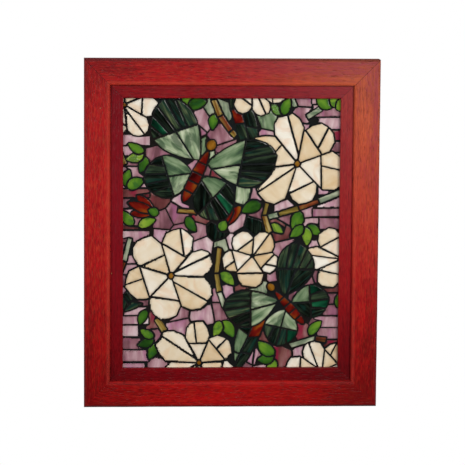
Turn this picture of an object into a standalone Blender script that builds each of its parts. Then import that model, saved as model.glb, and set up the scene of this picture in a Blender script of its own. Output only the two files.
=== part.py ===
"""A framed stained-glass mosaic panel: four mitred rails of stepped moulding, a backing board in their
rebate, a grout bed with the larger pieces of cut glass let into it, and two sawtooth hangers in the back of
the top rail.

The frame is +Z up. The wall is the plane y = 0 and the panel faces -Y. The origin is on the back of the top
rail, midway along it and halfway across its flat back, where the panel meets the wall between its hangers."""

import math

import bpy
import numpy as np
from mathutils import Matrix

MM = 0.001

# Frame, in metres
FRAME_WIDTH = 0.412
FRAME_HEIGHT = 0.489
FRAME_DEPTH = 0.028
FACE_WIDTH = 0.037  # the raised outer band of the moulding
LIP_WIDTH = 0.0175  # the lower inner band
STEP_DEPTH = 0.006  # from the face down to the lip
LIP_THICKNESS = 0.007
REBATE = 0.009  # how far the rebate reaches behind the lip
OUTER_EASE = 0.0016
INNER_EASE = 0.0040
LIP_EASE = 0.0010
EASE_STEPS = 3
GAP = 0.0003  # between pieces that touch
MERGE = 0.00001

# What lies in the rebate
BED_CLEARANCE = 0.001
GLASS_THICKNESS = 0.003
GROUT_BELOW_GLASS = 0.0007
BOARD_THICKNESS = 0.009

# Mosaic
OPENING_WIDTH = FRAME_WIDTH - 2 * (FACE_WIDTH + LIP_WIDTH)
OPENING_HEIGHT = FRAME_HEIGHT - 2 * (FACE_WIDTH + LIP_WIDTH)
FIELD_HALF = np.array([OPENING_WIDTH, OPENING_HEIGHT]) / 2 + REBATE - BED_CLEARANCE
JOINT = 0.0020
SMALLEST_REACH = 0.0013  # a piece with less glass than this around its middle is left to the grout
SMALLEST_FEELER = 0.0007
SMALLEST_CELL = 0.0021
NIBBLE_DEPTH = 0.00014  # of the cutter's small bites along an edge
NIBBLE_WAVES = (520, 610, 1100)  # radians a metre
GRID_STEP = 0.001
GRID_MARGIN = 0.012
FIRST_RAYS = 72
RAYS = 64
RAY_STEPS = 20
SEED = 12
LEAF_LENGTH = (0.024, 0.033)
LEAF_FULLNESS = (0.52, 0.64)  # width over length
BAR_LENGTH = (0.022, 0.040)
SHORTEST_BAR = 0.006
BAND_HEIGHT = (0.0125, 0.0185)
BAND_LENGTH = (0.030, 0.052)
BAND_TILT = 0.0008
CELL_SPACING = 0.027

# Solids made of the glass
GLASS_PIECES = 48
LARGEST_OF_EACH_GLASS = 2
CORNERS = 18

# Hangers
HANGER_WIDTH = 0.046
HANGER_HEIGHT = 0.012
HANGER_THICKNESS = 0.001
HANGER_SPREAD = 0.110  # from the middle of the rail to each hanger
HANGER_TEETH = 9
TOOTH_DEPTH = 0.002
TEETH_REACH = 0.015  # from the hanger's middle to its last tooth
POCKET_DEPTH = 0.0026
NAIL_RADIUS = 0.0008
NAIL_HEAD_RADIUS = 0.0021
NAIL_HEAD_THICKNESS = 0.0007
NAIL_LENGTH = 0.009
NAIL_POINT = 0.0015
NAIL_SPREAD = 0.019
ROUND_SIDES = 12

BACK_WIDTH = FACE_WIDTH + LIP_WIDTH - REBATE
CENTRE_Z = BACK_WIDTH / 2 - FRAME_HEIGHT / 2
LIP_FRONT = STEP_DEPTH - FRAME_DEPTH
GLASS_FRONT = LIP_FRONT + LIP_THICKNESS + GAP
BOARD_FRONT = GLASS_FRONT + GLASS_THICKNESS + GAP

# Motifs, in millimetres from the middle of the opening, with angles in degrees
BUTTERFLIES = ((-46, 88, 64, 116, 6), (78, -100, 132, 92, 5))  # x, z, heading, size, strips in a wing
BUDS = ((-12, 10, 72, 46), (-108, 30, 160, 40))  # x, z, heading, size
BLOSSOMS = (  # x, z, radius, petals, turn
    (92, 98, 68, 6, 20),
    (-84, -60, 69, 6, 50),
    (30, -32, 43, 5, 10),
    (-44, -184, 60, 6, 5),
    (156, -36, 50, 6, 30),
    (-150, 180, 56, 6, 24),
    (130, -196, 52, 6, 24),
    (28, 204, 46, 6, 24),
)
SPRAYS = (  # x, z, heading, leaves
    (-118, 112, 200, 3),
    (142, 172, 80, 3),
    (70, 162, 120, 3),
    (-10, 28, 220, 3),
    (-134, 8, 100, 4),
    (-14, -120, -60, 3),
    (-104, -150, 200, 3),
    (104, 14, -90, 3),
    (66, -48, -30, 3),
    (146, -108, 90, 3),
    (-66, 176, 20, 3),
    (66, -176, 190, 3),
    (-150, 62, 20, 3),
)
BLADES = ((-2, 204, -76, 110, 32, 0.08), (-162, -112, 50, 100, 32, -0.08), (10, -194, 66, 116, 32, 0.06))
BRANCHES = (  # three points of a bow, width, leaves
    ((-76, 32), (-44, 20), (-12, 46), 9, 3),
    ((54, 58), (38, 30), (54, 0), 9, 2),
    ((-16, -20), (-28, -60), (-8, -106), 9, 4),
    ((-122, -94), (-104, -120), (-84, -152), 9, 3),
    ((84, -160), (108, -144), (136, -152), 9, 3),
    ((-26, 188), (-18, 160), (6, 136), 9, 2),
    ((158, 60), (100, 34), (40, 20), 8, 3),
    ((-158, 120), (-120, 20), (-158, -60), 8, 3),
    ((158, 196), (124, 176), (100, 160), 8, 2),
)

# Colour of each glass
GLASS = {
    "cream": (0.80, 0.70, 0.56),
    "mauve": (0.34, 0.19, 0.24),
    "wine": (0.17, 0.065, 0.07),
    "pine": (0.02, 0.045, 0.018),
    "celadon": (0.30, 0.42, 0.29),
    "teal": (0.01, 0.12, 0.06),
    "leaf": (0.09, 0.22, 0.03),
    "maroon": (0.13, 0.012, 0.008),
    "amber": (0.25, 0.09, 0.012),
    "ochre": (0.30, 0.19, 0.05),
    "rust": (0.24, 0.06, 0.025),
    "smoke": (0.50, 0.50, 0.40),
}
GLASS_ROUGHNESS = 0.15
OTHER_FINISHES = {  # colour, roughness, metallic
    "stained_wood": ((0.33, 0.014, 0.012), 0.4, 0.0),
    "plywood": ((0.28, 0.17, 0.09), 0.7, 0.0),
    "grout": ((0.012, 0.009, 0.008), 0.8, 0.0),
    "steel": ((0.55, 0.54, 0.50), 0.35, 1.0),
}


def unit(angle):
    return np.array([math.cos(angle), math.sin(angle)])


def across(angle):
    """The direction a quarter turn anticlockwise of an angle."""
    return unit(angle + math.pi / 2)


def unit_rows(angles):
    """A unit direction for each angle, one to a row."""
    return np.column_stack([np.cos(angles), np.sin(angles)])


def signed_distance(points, outline):
    """Distance from each point to a closed outline, less than zero inside it."""
    side = np.roll(outline, -1, axis=0) - outline
    offset = points[..., None, :] - outline
    share = (offset * side).sum(-1) / np.maximum((side**2).sum(-1), 1e-14)
    away = offset - np.clip(share, 0.0, 1.0)[..., None] * side
    distance = np.sqrt((away**2).sum(-1).min(-1))
    above = offset[..., 1] >= 0
    above_end = offset[..., 1] >= side[:, 1]
    left = side[:, 0] * offset[..., 1] > side[:, 1] * offset[..., 0]
    crossed = (above != above_end) & (left == above)
    return np.where(crossed.sum(-1) % 2 == 1, -distance, distance)


def area_of(outline):
    x, y = outline.T
    return 0.5 * abs(x @ np.roll(y, -1) - y @ np.roll(x, -1))


def cut_side(outline, point, normal):
    """The part of a convex outline behind a straight cut through a point."""
    height = (outline - point) @ normal
    after = np.roll(height, -1)
    crosses = (height <= 0) != (after <= 0)
    share = height / np.where(crosses, height - after, 1.0)
    meets = outline + share[:, None] * (np.roll(outline, -1, axis=0) - outline)
    both = np.stack([outline, meets], axis=1).reshape(-1, 2)
    return both[np.stack([height <= 0, crosses], axis=1).ravel()]


def split(outline, point, angle):
    """Both parts of an outline, either side of the cut through a point that is square to an angle."""
    return [cut_side(outline, point, unit(angle)), cut_side(outline, point, -unit(angle))]


def lobe(root, angle, length, width, skew=1.0, fullness=0.7, bend=0.0, steps=14):
    """A leaf, petal or wing on a bowed middle line, with a power of sin(pi s^skew) for half its width."""
    s = np.linspace(0.0, 1.0, steps)
    half = 0.5 * width * np.abs(np.sin(math.pi * s**skew)) ** fullness
    middle = bend * length * 4 * s * (1 - s)
    along = length * np.concatenate([s, s[-2:0:-1]])
    aside = np.concatenate([middle - half, (middle + half)[-2:0:-1]])
    return root + np.outer(along, unit(angle)) + np.outer(aside, across(angle))


class Mosaic:
    """Glass laid piece by piece, each one cut to the room that the earlier pieces leave it."""

    def __init__(self):
        self.random = np.random.default_rng(SEED)
        self.pieces = []
        self.low = -FIELD_HALF - GRID_MARGIN
        counts = np.ceil(-2 * self.low / GRID_STEP).astype(int) + 1
        nodes = np.stack(np.meshgrid(*map(np.arange, counts), indexing="ij"), axis=-1)
        self.grid = self.low + GRID_STEP * nodes
        self.free = np.full(tuple(counts), 1.0)

    def between(self, low, high):
        return self.random.uniform(low, high)

    def pick(self, glasses, chances=None):
        return str(self.random.choice(glasses, p=chances))

    def window(self, outline, margin):
        low = (outline.min(axis=0) - margin - self.low) / GRID_STEP
        high = (outline.max(axis=0) + margin - self.low) / GRID_STEP
        low, high = np.maximum(low.astype(int), 0), high.astype(int) + 2
        return slice(low[0], high[0]), slice(low[1], high[1])

    def free_at(self, points):
        """Distance from each point to the nearest laid piece, read between the four grid nodes around it."""
        place = (points - self.low) / GRID_STEP
        cell = np.clip(place.astype(int), 0, np.array(self.free.shape) - 2)
        x, y = (place - cell).T
        i, j = cell.T
        near = self.free[i, j] * (1 - x) + self.free[i + 1, j] * x
        far = self.free[i, j + 1] * (1 - x) + self.free[i + 1, j + 1] * x
        return near * (1 - y) + far * y

    def lay(self, motif, glass, design, keep=0.0, most=1, smallest=SMALLEST_REACH):
        """Lays up to most pieces of a design, but none that keeps less than this share of it."""
        for normal in np.array([[-1, 0], [1, 0], [0, -1], [0, 1]]):
            design = cut_side(design, normal * FIELD_HALF, normal)
        for _ in range(most if len(design) > 2 else 0):
            outline = self.fit(design, smallest)
            if outline is None or area_of(outline) < keep * area_of(design):
                return
            window = self.window(outline, GRID_MARGIN)
            distance = signed_distance(self.grid[window], outline)
            self.free[window] = np.minimum(self.free[window], distance)
            shade = self.between(0, 1)
            self.pieces.append({"motif": motif, "glass": glass, "outline": outline, "shade": shade})

    def fit(self, design, smallest):
        """The outline of a piece: the reach of rays from the middle of the free part of its design."""
        joint = JOINT * self.between(0.75, 1.4)
        phase = self.random.uniform(0, 2 * math.pi, 3)

        def room(points, free):
            x, y = points.T
            nibble = np.sin(NIBBLE_WAVES[0] * x + phase[0]) * np.sin(NIBBLE_WAVES[1] * y + phase[1])
            nibble += 0.5 * np.sin(NIBBLE_WAVES[2] * (x + y) + phase[2])
            own = -signed_distance(points, design) - joint / 2
            return np.minimum(own, free - joint) - NIBBLE_DEPTH * (1 + nibble)

        def reach(rays):
            rays = rays / np.hypot(*rays.T)[:, None]
            length = np.zeros(len(rays))
            for _ in range(RAY_STEPS):
                points = centre + length[:, None] * rays
                length = length + 0.9 * room(points, self.free_at(points))
            return centre + length[:, None] * rays

        window = self.window(design, 0.0)
        seeds = self.grid[window].reshape(-1, 2)
        clear = room(seeds, self.free[window].ravel())
        if clear.max(initial=0.0) < smallest or (clear > 0).sum() < 3:
            return None
        weight = np.maximum(clear, 0)
        deep = seeds[clear > 0.75 * clear.max()]
        middle = weight @ seeds / weight.sum()
        centre = deep[((deep - middle) ** 2).sum(axis=1).argmin()]
        spread, axes = np.linalg.eigh(np.cov(seeds[clear > 0].T) + 1e-8 * np.eye(2))
        axes[:, 1] *= np.sign(np.linalg.det(axes))
        around = np.linspace(0, 2 * math.pi, FIRST_RAYS, endpoint=False)
        first = reach(unit_rows(around) * np.sqrt(spread) @ axes.T)
        return reach(crowded(first) - centre)


def crowded(outline):
    """Points round a closed outline, closer where it turns, so that corners keep theirs."""
    side = np.roll(outline, -1, axis=0) - outline
    length = np.hypot(*side.T)
    heading = np.unwrap(np.arctan2(side[:, 1], side[:, 0]))
    turn = np.abs(np.diff(heading, append=heading[0] + 2 * math.pi))
    share = length / length.sum() + (turn + np.roll(turn, 1)) / (8 * math.pi)
    measure = np.concatenate([[0.0], np.cumsum(share)])
    wanted = np.linspace(0, measure[-1], RAYS, endpoint=False)
    closed = np.vstack([outline, outline[:1]])
    return np.column_stack([np.interp(wanted, measure, closed[:, i]) for i in (0, 1)])


def lay_wing(mosaic, root, angle, length, width, strips, skew, bend):
    """Two pale patches next to the body and a fan of dark strips beyond them."""
    outline = lobe(root, angle, length, width, skew, 0.6, bend, 20)
    inner, outer = split(outline, root + unit(angle) * length * 0.5, angle + mosaic.between(-0.3, 0.3))
    rib = root + unit(angle) * length * 0.3 + across(angle) * bend * length
    for half in split(inner, rib, angle + math.pi / 2 + mosaic.between(-0.1, 0.1)):
        mosaic.lay("wing", mosaic.pick(["celadon", "celadon", "pine"]), half)
    behind = root - 0.25 * length * unit(angle)
    spread = math.atan2(width * 0.5, length * 0.95)
    bounds = angle + 1.3 * bend + np.linspace(-spread, spread, strips + 1)
    for low, high in zip(bounds[:-1], bounds[1:]):
        strip = outer
        if low > bounds[0]:
            strip = cut_side(strip, behind, -across(low))
        if high < bounds[-1] and len(strip) > 2:
            strip = cut_side(strip, behind, across(high))
        mosaic.lay("wing", "pine" if mosaic.between(0, 1) < 0.86 else "teal", strip)


def lay_butterfly(mosaic, x, z, heading, size, strips):
    centre, heading, size = np.array([x, z]) * MM, math.radians(heading), size * MM
    ahead, aside = unit(heading) * size, across(heading) * size
    mosaic.lay("body", "amber", lobe(centre + 0.27 * ahead, heading, 0.15 * size, 0.13 * size, fullness=0.6))
    rest = lobe(centre - 0.44 * ahead, heading, 0.72 * size, 0.15 * size, 0.8, 0.55)
    for stop in (0.10, -0.03, -0.15, -0.28):
        segment, rest = split(rest, centre + stop * ahead, heading + math.pi)
        mosaic.lay("body", "maroon", segment)
    mosaic.lay("body", "maroon", rest)
    for s in (1, -1):
        root = centre + 0.38 * ahead + 0.02 * s * aside
        feeler = lobe(root, heading + 0.45 * s, 0.3 * size, 0.03 * size, fullness=0.3)
        mosaic.lay("body", "rust", feeler, keep=0.3, smallest=SMALLEST_FEELER)
    for s in (1, -1):
        root = centre + 0.12 * ahead + 0.05 * s * aside
        lay_wing(mosaic, root, heading + s, 0.86 * size, 0.58 * size, strips, 1.3, 0.07 * s)
        root = centre - 0.06 * ahead + 0.05 * s * aside
        lay_wing(mosaic, root, heading + 2.15 * s, 0.6 * size, 0.52 * size, strips - 1, 1.1, 0.0)


def lay_bud(mosaic, x, z, heading, size):
    """A closed flower: long dark red petals on a green cup."""
    root, heading, size = np.array([x, z]) * MM, math.radians(heading), size * MM
    cup = lobe(root - 0.18 * size * unit(heading), heading, 0.42 * size, 0.34 * size, 0.8)
    mosaic.lay("leaf", "leaf", cup)
    mosaic.lay("bud", "maroon", lobe(root, heading, size, 0.36 * size, 0.9, 0.6))
    for s in (1, -1):
        petal = lobe(root, heading + 0.42 * s, 0.86 * size, 0.36 * size, 0.95, 0.6)
        mosaic.lay("bud", "maroon", petal, keep=0.3)


def lay_blossom(mosaic, x, z, radius, petals, turn):
    """Broad petals round a small heart, each a wedge with a rounded rim, cut into two or three."""
    centre, radius = np.array([x, z]) * MM, radius * MM
    heart = 0.075 * radius
    mosaic.lay("heart", "amber", lobe(centre - [heart, 0], 0.0, 2 * heart, 2 * heart, fullness=0.5, steps=5))
    widths = mosaic.random.uniform(0.8, 1.2, petals)
    edges = math.radians(turn) + 2 * math.pi * np.concatenate([[0], np.cumsum(widths)]) / widths.sum()
    for k in mosaic.random.permutation(petals):
        middle, half = (edges[k] + edges[k + 1]) / 2, (edges[k + 1] - edges[k]) / 2
        length = radius * mosaic.between(0.84, 1.12)
        u = np.linspace(-1, 1, 7)
        reach = length * (1 - 0.30 * np.abs(u) ** 2.4) * (1 + mosaic.random.uniform(-0.035, 0.035, 7))
        rim = centre + reach[:, None] * unit_rows(middle + half * u)
        base = centre + 0.9 * heart * unit_rows(np.array([edges[k + 1], edges[k]]))
        petal = np.vstack([rim, base])
        out, aside = unit(middle) * length, across(middle) * radius
        if mosaic.between(0, 1) < 0.3:
            parts = split(petal, centre + 0.6 * out + mosaic.between(-0.06, 0.06) * aside,
                          middle + math.pi / 2 + mosaic.between(-0.12, 0.12))
        else:
            point = centre + mosaic.between(0.46, 0.62) * out
            parts = split(petal, point, middle + mosaic.between(-0.4, 0.4))
            if mosaic.between(0, 1) < 0.4:
                parts[1:] = split(parts[1], centre + 0.7 * out + mosaic.between(-0.1, 0.1) * aside,
                                  middle + math.pi / 2 + mosaic.between(-0.35, 0.35))
        for part in parts:
            mosaic.lay("petal", "cream", part, most=2)


def lay_leaf(mosaic, root, heading, side):
    length = mosaic.between(*LEAF_LENGTH)
    width = length * mosaic.between(*LEAF_FULLNESS)
    mosaic.lay("leaf", "leaf", lobe(root, heading, length, width, 0.8, 0.72, 0.04 * side), keep=0.5)


def lay_spray(mosaic, x, z, heading, leaves):
    """Leaves in a fan from a point."""
    for k in range(leaves):
        angle = math.radians(heading + 50 * (k - (leaves - 1) / 2)) + mosaic.between(-0.1, 0.1)
        lay_leaf(mosaic, np.array([x, z]) * MM + 0.004 * unit(angle), angle, 1)


def lay_blade(mosaic, x, z, angle, length, width, bend):
    """A long dark leaf: a half either side of its rib, each cut across several times."""
    root, angle, length, width = np.array([x, z]) * MM, math.radians(angle), length * MM, width * MM
    outline = lobe(root, angle, length, width, 0.9, 0.7, bend, 22)
    rib = root + unit(angle) * length * 0.5 + across(angle) * bend * length * 0.9
    for rest in split(outline, rib, angle + math.pi / 2):
        reach = mosaic.between(0.16, 0.26)
        while reach < 1:
            point = root + unit(angle) * length * reach
            glass = mosaic.pick(["pine", "pine", "pine", "maroon", "celadon"])
            part, rest = split(rest, point, angle + mosaic.between(-0.55, 0.55))
            mosaic.lay("blade", glass, part, most=2)
            reach += mosaic.between(0.2, 0.34) if len(rest) > 2 else 1
        mosaic.lay("blade", "pine", rest, most=2)


def lay_branch(mosaic, start, pull, end, width, leaves):
    """Bars end to end along a quadratic bow, with leaves to either side by turns."""
    start, pull, end = (np.array(point) * MM for point in (start, pull, end))
    t = np.linspace(0, 1, 200)[:, None]
    path = (1 - t) ** 2 * start + 2 * t * (1 - t) * pull + t**2 * end
    heading = np.arctan2(*np.gradient(path, axis=0).T[::-1])
    along = np.concatenate([[0], np.cumsum(np.hypot(*np.diff(path, axis=0).T))])
    half = width * MM / 2
    stops = [0.0]
    while stops[-1] < along[-1] - SHORTEST_BAR:
        stops.append(min(stops[-1] + mosaic.between(*BAR_LENGTH), along[-1]))
    at = np.searchsorted(along, stops).clip(0, len(path) - 1)
    for a, b in zip(at[:-1], at[1:]):
        widths = half * mosaic.random.uniform(0.84, 1.16, 2)
        sides = widths[:, None] * [across(heading[a]), across(heading[b])]
        bar = np.array([path[a] - sides[0], path[b] - sides[1], path[b] + sides[1], path[a] + sides[0]])
        mosaic.lay("stem", mosaic.pick(["ochre", "rust", "smoke"]), bar, keep=0.3)
    for k in range(leaves):
        i = np.searchsorted(along, along[-1] * (k + 0.6) / leaves)
        s = 1 if k % 2 else -1
        root = path[i] + s * half * across(heading[i])
        lay_leaf(mosaic, root, heading[i] + s * mosaic.between(0.55, 1.05), s)


def lay_ground(mosaic):
    """Level bands down both sides and, between them, the cells nearest to each of a scatter of points."""
    for s in (-1, 1):
        z = -FIELD_HALF[1]
        while z < FIELD_HALF[1]:
            height = mosaic.between(*BAND_HEIGHT)
            low, high = sorted((s * (FIELD_HALF[0] - mosaic.between(*BAND_LENGTH)), s * FIELD_HALF[0]))
            tilt = mosaic.between(-BAND_TILT, BAND_TILT)
            band = [(low, z), (high, z + tilt), (high, z + height + tilt), (low, z + height)]
            glass = mosaic.pick(["mauve", "mauve", "mauve", "mauve", "wine"])
            mosaic.lay("ground", glass, np.array(band), most=2)
            z += height
    counts = (2 * FIELD_HALF / CELL_SPACING).astype(int)
    nodes = np.stack(np.meshgrid(*[np.linspace(-1, 1, n + 1) for n in counts]), axis=-1).reshape(-1, 2)
    seeds = nodes * FIELD_HALF + mosaic.random.uniform(-0.4, 0.4, nodes.shape) * CELL_SPACING
    for seed in seeds:
        cell = seed + 1.3 * CELL_SPACING * np.array([[-1, -1], [1, -1], [1, 1], [-1, 1]])
        gaps = np.hypot(*(seeds - seed).T)
        for other in seeds[(gaps > 0) & (gaps < 3 * CELL_SPACING)]:
            cell = cut_side(cell, (seed + other) / 2, other - seed)
        glass = mosaic.pick(["mauve", "wine", "smoke", "pine", "celadon"], [0.7, 0.14, 0.06, 0.06, 0.04])
        mosaic.lay("ground", glass, cell, most=3, smallest=SMALLEST_CELL)


def lay_mosaic():
    mosaic = Mosaic()
    for lay, rows in (
        (lay_butterfly, BUTTERFLIES),
        (lay_bud, BUDS),
        (lay_blossom, BLOSSOMS),
        (lay_spray, SPRAYS),
        (lay_blade, BLADES),
        (lay_branch, BRANCHES),
    ):
        for row in rows:
            lay(mosaic, *row)
    lay_ground(mosaic)
    return mosaic.pieces


def fewer(outline, count):
    """An outline without the points that shape it least."""
    while len(outline) > count:
        before, after = outline - np.roll(outline, 1, axis=0), np.roll(outline, -1, axis=0) - outline
        turn = np.abs(before[:, 0] * after[:, 1] - before[:, 1] * after[:, 0])
        outline = np.delete(outline, turn.argmin(), axis=0)
    return outline


def grown(outline, margin):
    """An anticlockwise outline moved out by a margin, corner by corner."""
    side = np.roll(outline, -1, axis=0) - outline
    out = np.column_stack([side[:, 1], -side[:, 0]]) / np.hypot(*side.T)[:, None]
    both = out + np.roll(out, 1, axis=0)
    return outline + margin * 2 * both / np.maximum((both**2).sum(axis=1), 1.0)[:, None]


def material(name, colour, roughness, metallic):
    made = bpy.data.materials.new(name)
    made.use_nodes = True
    shader = made.node_tree.nodes["Principled BSDF"]
    shader.inputs["Base Color"].default_value = (*colour, 1.0)
    shader.inputs["Roughness"].default_value = roughness
    shader.inputs["Metallic"].default_value = metallic
    return made


def cut_sheet(name, outlines, thickness):
    """A curve object: a sheet in its own XY plane, cut to its first outline and holed by the others."""
    sheet = bpy.data.curves.new(name, "CURVE")
    sheet.dimensions = "2D"
    sheet.fill_mode = "BOTH"
    sheet.extrude = thickness / 2
    for outline in outlines:
        spline = sheet.splines.new("POLY")
        spline.points.add(len(outline) - 1)
        rows = np.column_stack([outline, np.zeros(len(outline)), np.ones(len(outline))])
        spline.points.foreach_set("co", rows.ravel())
        spline.use_cyclic_u = True
    return bpy.data.objects.new(name, sheet)


def add(piece, finish, collection):
    piece.data.materials.clear()
    piece.data.materials.append(finish)
    collection.objects.link(piece)
    return piece


def upright(piece, x, y, z):
    """Stands a sheet up in the XZ plane with its middle at a point."""
    piece.rotation_euler = (math.pi / 2, 0.0, 0.0)
    piece.location = (x, y, z)
    return piece


def eased(centre, radius, start):
    """Points of a quarter circle, clockwise from an angle, round the centre of an eased corner."""
    turn = np.linspace(start, start - math.pi / 2, EASE_STEPS + 1)
    return centre + radius * unit_rows(turn)


def moulding_profile():
    """The section of a rail: x runs in from its outer side and y runs out from the wall."""
    face, lip, inside = FRAME_DEPTH, -LIP_FRONT, FACE_WIDTH + LIP_WIDTH
    return np.vstack([
        [(0.0, 0.0)],
        eased((OUTER_EASE, face - OUTER_EASE), OUTER_EASE, math.pi),
        eased((FACE_WIDTH - INNER_EASE, face - INNER_EASE), INNER_EASE, math.pi / 2),
        [(FACE_WIDTH, lip)],
        eased((inside - LIP_EASE, lip - LIP_EASE), LIP_EASE, math.pi / 2),
        [(inside, lip - LIP_THICKNESS), (inside - REBATE, lip - LIP_THICKNESS), (inside - REBATE, 0.0)],
    ])[::-1]


def mesh_of(curve_object):
    """The same shape as a mesh object, with its caps joined to its sides."""
    name = curve_object.name
    made = bpy.data.objects.new(name + "_mesh", bpy.data.meshes.new_from_object(curve_object))
    bpy.data.objects.remove(curve_object)
    made.name = name
    weld = made.modifiers.new("Weld", "WELD")
    weld.merge_threshold = MERGE
    return made


def make_rail(name, span, reach, turn):
    """A length of moulding whose ends are cut back by as much as they are in from its outer side."""
    rail = mesh_of(cut_sheet(name, [moulding_profile()], span))
    points = np.empty(len(rail.data.vertices) * 3, np.float32)
    rail.data.vertices.foreach_get("co", points)
    points = points.reshape(-1, 3)
    points[:, 2] = np.sign(points[:, 2]) * (span / 2 - points[:, 0] - GAP)
    rail.data.vertices.foreach_set("co", points.ravel())
    along_top = Matrix(((0, 0, -1, 0), (0, -1, 0, 0), (-1, 0, 0, 0), (0, 0, 0, 1)))
    middle = Matrix.Translation((0, 0, CENTRE_Z)) @ Matrix.Rotation(turn, 4, "Y")
    rail.matrix_world = middle @ Matrix.Translation((0, 0, reach)) @ along_top
    return rail


def make_frame(collection, finish):
    half_wide, half_high = FRAME_WIDTH / 2, FRAME_HEIGHT / 2
    return {
        name: add(make_rail(name, span, reach, turn), finish, collection)
        for name, span, reach, turn in (
            ("frame_rail_top", FRAME_WIDTH, half_high, 0.0),
            ("frame_rail_right", FRAME_HEIGHT, half_wide, math.pi / 2),
            ("frame_rail_bottom", FRAME_WIDTH, half_high, math.pi),
            ("frame_rail_left", FRAME_HEIGHT, half_wide, -math.pi / 2),
        )
    }


def make_board(collection, finish):
    bpy.ops.mesh.primitive_cube_add(size=1.0, location=(0, BOARD_FRONT + BOARD_THICKNESS / 2, CENTRE_Z))
    board = bpy.context.object
    board.name = "backing_board"
    board.scale = (2 * FIELD_HALF[0], BOARD_THICKNESS, 2 * FIELD_HALF[1])
    bpy.ops.object.transform_apply(location=False, rotation=False, scale=True)
    for owner in list(board.users_collection):
        owner.objects.unlink(board)
    return add(board, finish, collection)


def solid_pieces():
    """The largest pieces of each kind of glass, and then the next largest of all."""
    ranked = sorted(lay_mosaic(), key=lambda piece: area_of(piece["outline"]), reverse=True)
    kinds = {}
    for piece in ranked:
        kinds.setdefault(piece["glass"], []).append(piece)
    best = [piece for kind in kinds.values() for piece in kind[:LARGEST_OF_EACH_GLASS]]
    others = [piece for kind in kinds.values() for piece in kind[LARGEST_OF_EACH_GLASS:]]
    others.sort(key=lambda piece: area_of(piece["outline"]), reverse=True)
    return best + others[: GLASS_PIECES - len(best)]


def make_glass(collection, finishes):
    """Pieces of glass as solids, and the grout bed that holds them."""
    pieces = solid_pieces()
    counts = {}
    outlines = [fewer(piece["outline"], CORNERS) for piece in pieces]
    for piece, outline in zip(pieces, outlines):
        motif = piece["motif"]
        counts[motif] = counts.get(motif, 0) + 1
        sheet = cut_sheet(f"{motif}_glass_{counts[motif]:02d}", [outline], GLASS_THICKNESS)
        upright(sheet, 0, GLASS_FRONT + GLASS_THICKNESS / 2, CENTRE_Z)
        add(sheet, finishes[piece["glass"]], collection)
    edge = FIELD_HALF * np.array([[-1, -1], [1, -1], [1, 1], [-1, 1]])
    thickness = GLASS_THICKNESS - GROUT_BELOW_GLASS
    bed = cut_sheet("grout_bed", [edge] + [grown(outline, GAP) for outline in outlines], thickness)
    add(upright(bed, 0, BOARD_FRONT - GAP - thickness / 2, CENTRE_Z), finishes["grout"], collection)


def hanger_outline():
    """A strip whose lower edge is cut into teeth between its two nails."""
    wide, high = HANGER_WIDTH / 2, HANGER_HEIGHT / 2
    steps = np.linspace(-1, 1, 2 * HANGER_TEETH + 1)
    teeth = np.column_stack([steps * TEETH_REACH, -high + TOOTH_DEPTH * (np.arange(len(steps)) % 2)])
    return np.vstack([[(-wide, -high)], teeth, [(wide, -high), (wide, high), (-wide, high)]])


def circle(x, z, radius):
    return (x, z) + radius * unit_rows(np.linspace(0, 2 * math.pi, ROUND_SIDES, endpoint=False))


def make_nail(name):
    """A turned nail along its Z axis, its head at the top."""
    head, shank, thickness = NAIL_HEAD_RADIUS, NAIL_RADIUS, NAIL_HEAD_THICKNESS
    profile = [
        (0, 0),
        (head * 0.8, 0),
        (head, -thickness * 0.4),
        (head, -thickness),
        (shank, -thickness),
        (shank, -NAIL_LENGTH + NAIL_POINT),
        (0, -NAIL_LENGTH),
    ]
    mesh = bpy.data.meshes.new(name)
    mesh.from_pydata([(x, 0, z) for x, z in profile], [(i, i + 1) for i in range(len(profile) - 1)], [])
    nail = bpy.data.objects.new(name, mesh)
    screw = nail.modifiers.new("Screw", "SCREW")
    screw.steps = screw.render_steps = ROUND_SIDES
    screw.use_merge_vertices = True
    screw.merge_threshold = MERGE
    screw.use_smooth_shade = False
    return nail


def sink(rail, cutter, name, half_size, x, cutters):
    """Cuts a cube or a cylinder of this half size out of the back of a rail."""
    cutter.name = name
    cutter.location = (x, 0, 0)
    cutter.scale = half_size
    cutter.hide_render = True
    cutter.display_type = "WIRE"
    for owner in list(cutter.users_collection):
        owner.objects.unlink(cutter)
    cutters.objects.link(cutter)
    cut = rail.modifiers.new(name, "BOOLEAN")
    cut.operation = "DIFFERENCE"
    cut.object = cutter


def make_hanger(name, x, rail, collection, cutters, finish):
    """A hanger nailed into a shallow pocket, with its nails' heads just below the rail's back."""
    outlines = [hanger_outline()] + [circle(s * NAIL_SPREAD, 0, NAIL_RADIUS + GAP) for s in (-1, 1)]
    hanger = cut_sheet(name, outlines, HANGER_THICKNESS)
    add(upright(hanger, x, -POCKET_DEPTH + GAP + HANGER_THICKNESS / 2, 0), finish, collection)
    bpy.ops.mesh.primitive_cube_add(size=2.0)
    pocket = (HANGER_WIDTH / 2 + GAP, POCKET_DEPTH, HANGER_HEIGHT / 2 + GAP)
    sink(rail, bpy.context.object, name + "_pocket", pocket, x, cutters)
    for place, s in (("a", -1), ("b", 1)):
        nail = add(make_nail(f"{name}_nail_{place}"), finish, collection)
        nail.rotation_euler = (-math.pi / 2, 0, 0)
        nail.location = (x + s * NAIL_SPREAD, -GAP, 0)
        bpy.ops.mesh.primitive_cylinder_add(vertices=ROUND_SIDES, radius=1.0, depth=2.0)
        hole = bpy.context.object
        hole.rotation_euler = (math.pi / 2, 0, 0)
        bore = (NAIL_RADIUS + GAP, NAIL_RADIUS + GAP, NAIL_LENGTH + 2 * GAP)
        sink(rail, hole, f"{name}_hole_{place}", bore, x + s * NAIL_SPREAD, cutters)


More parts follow.
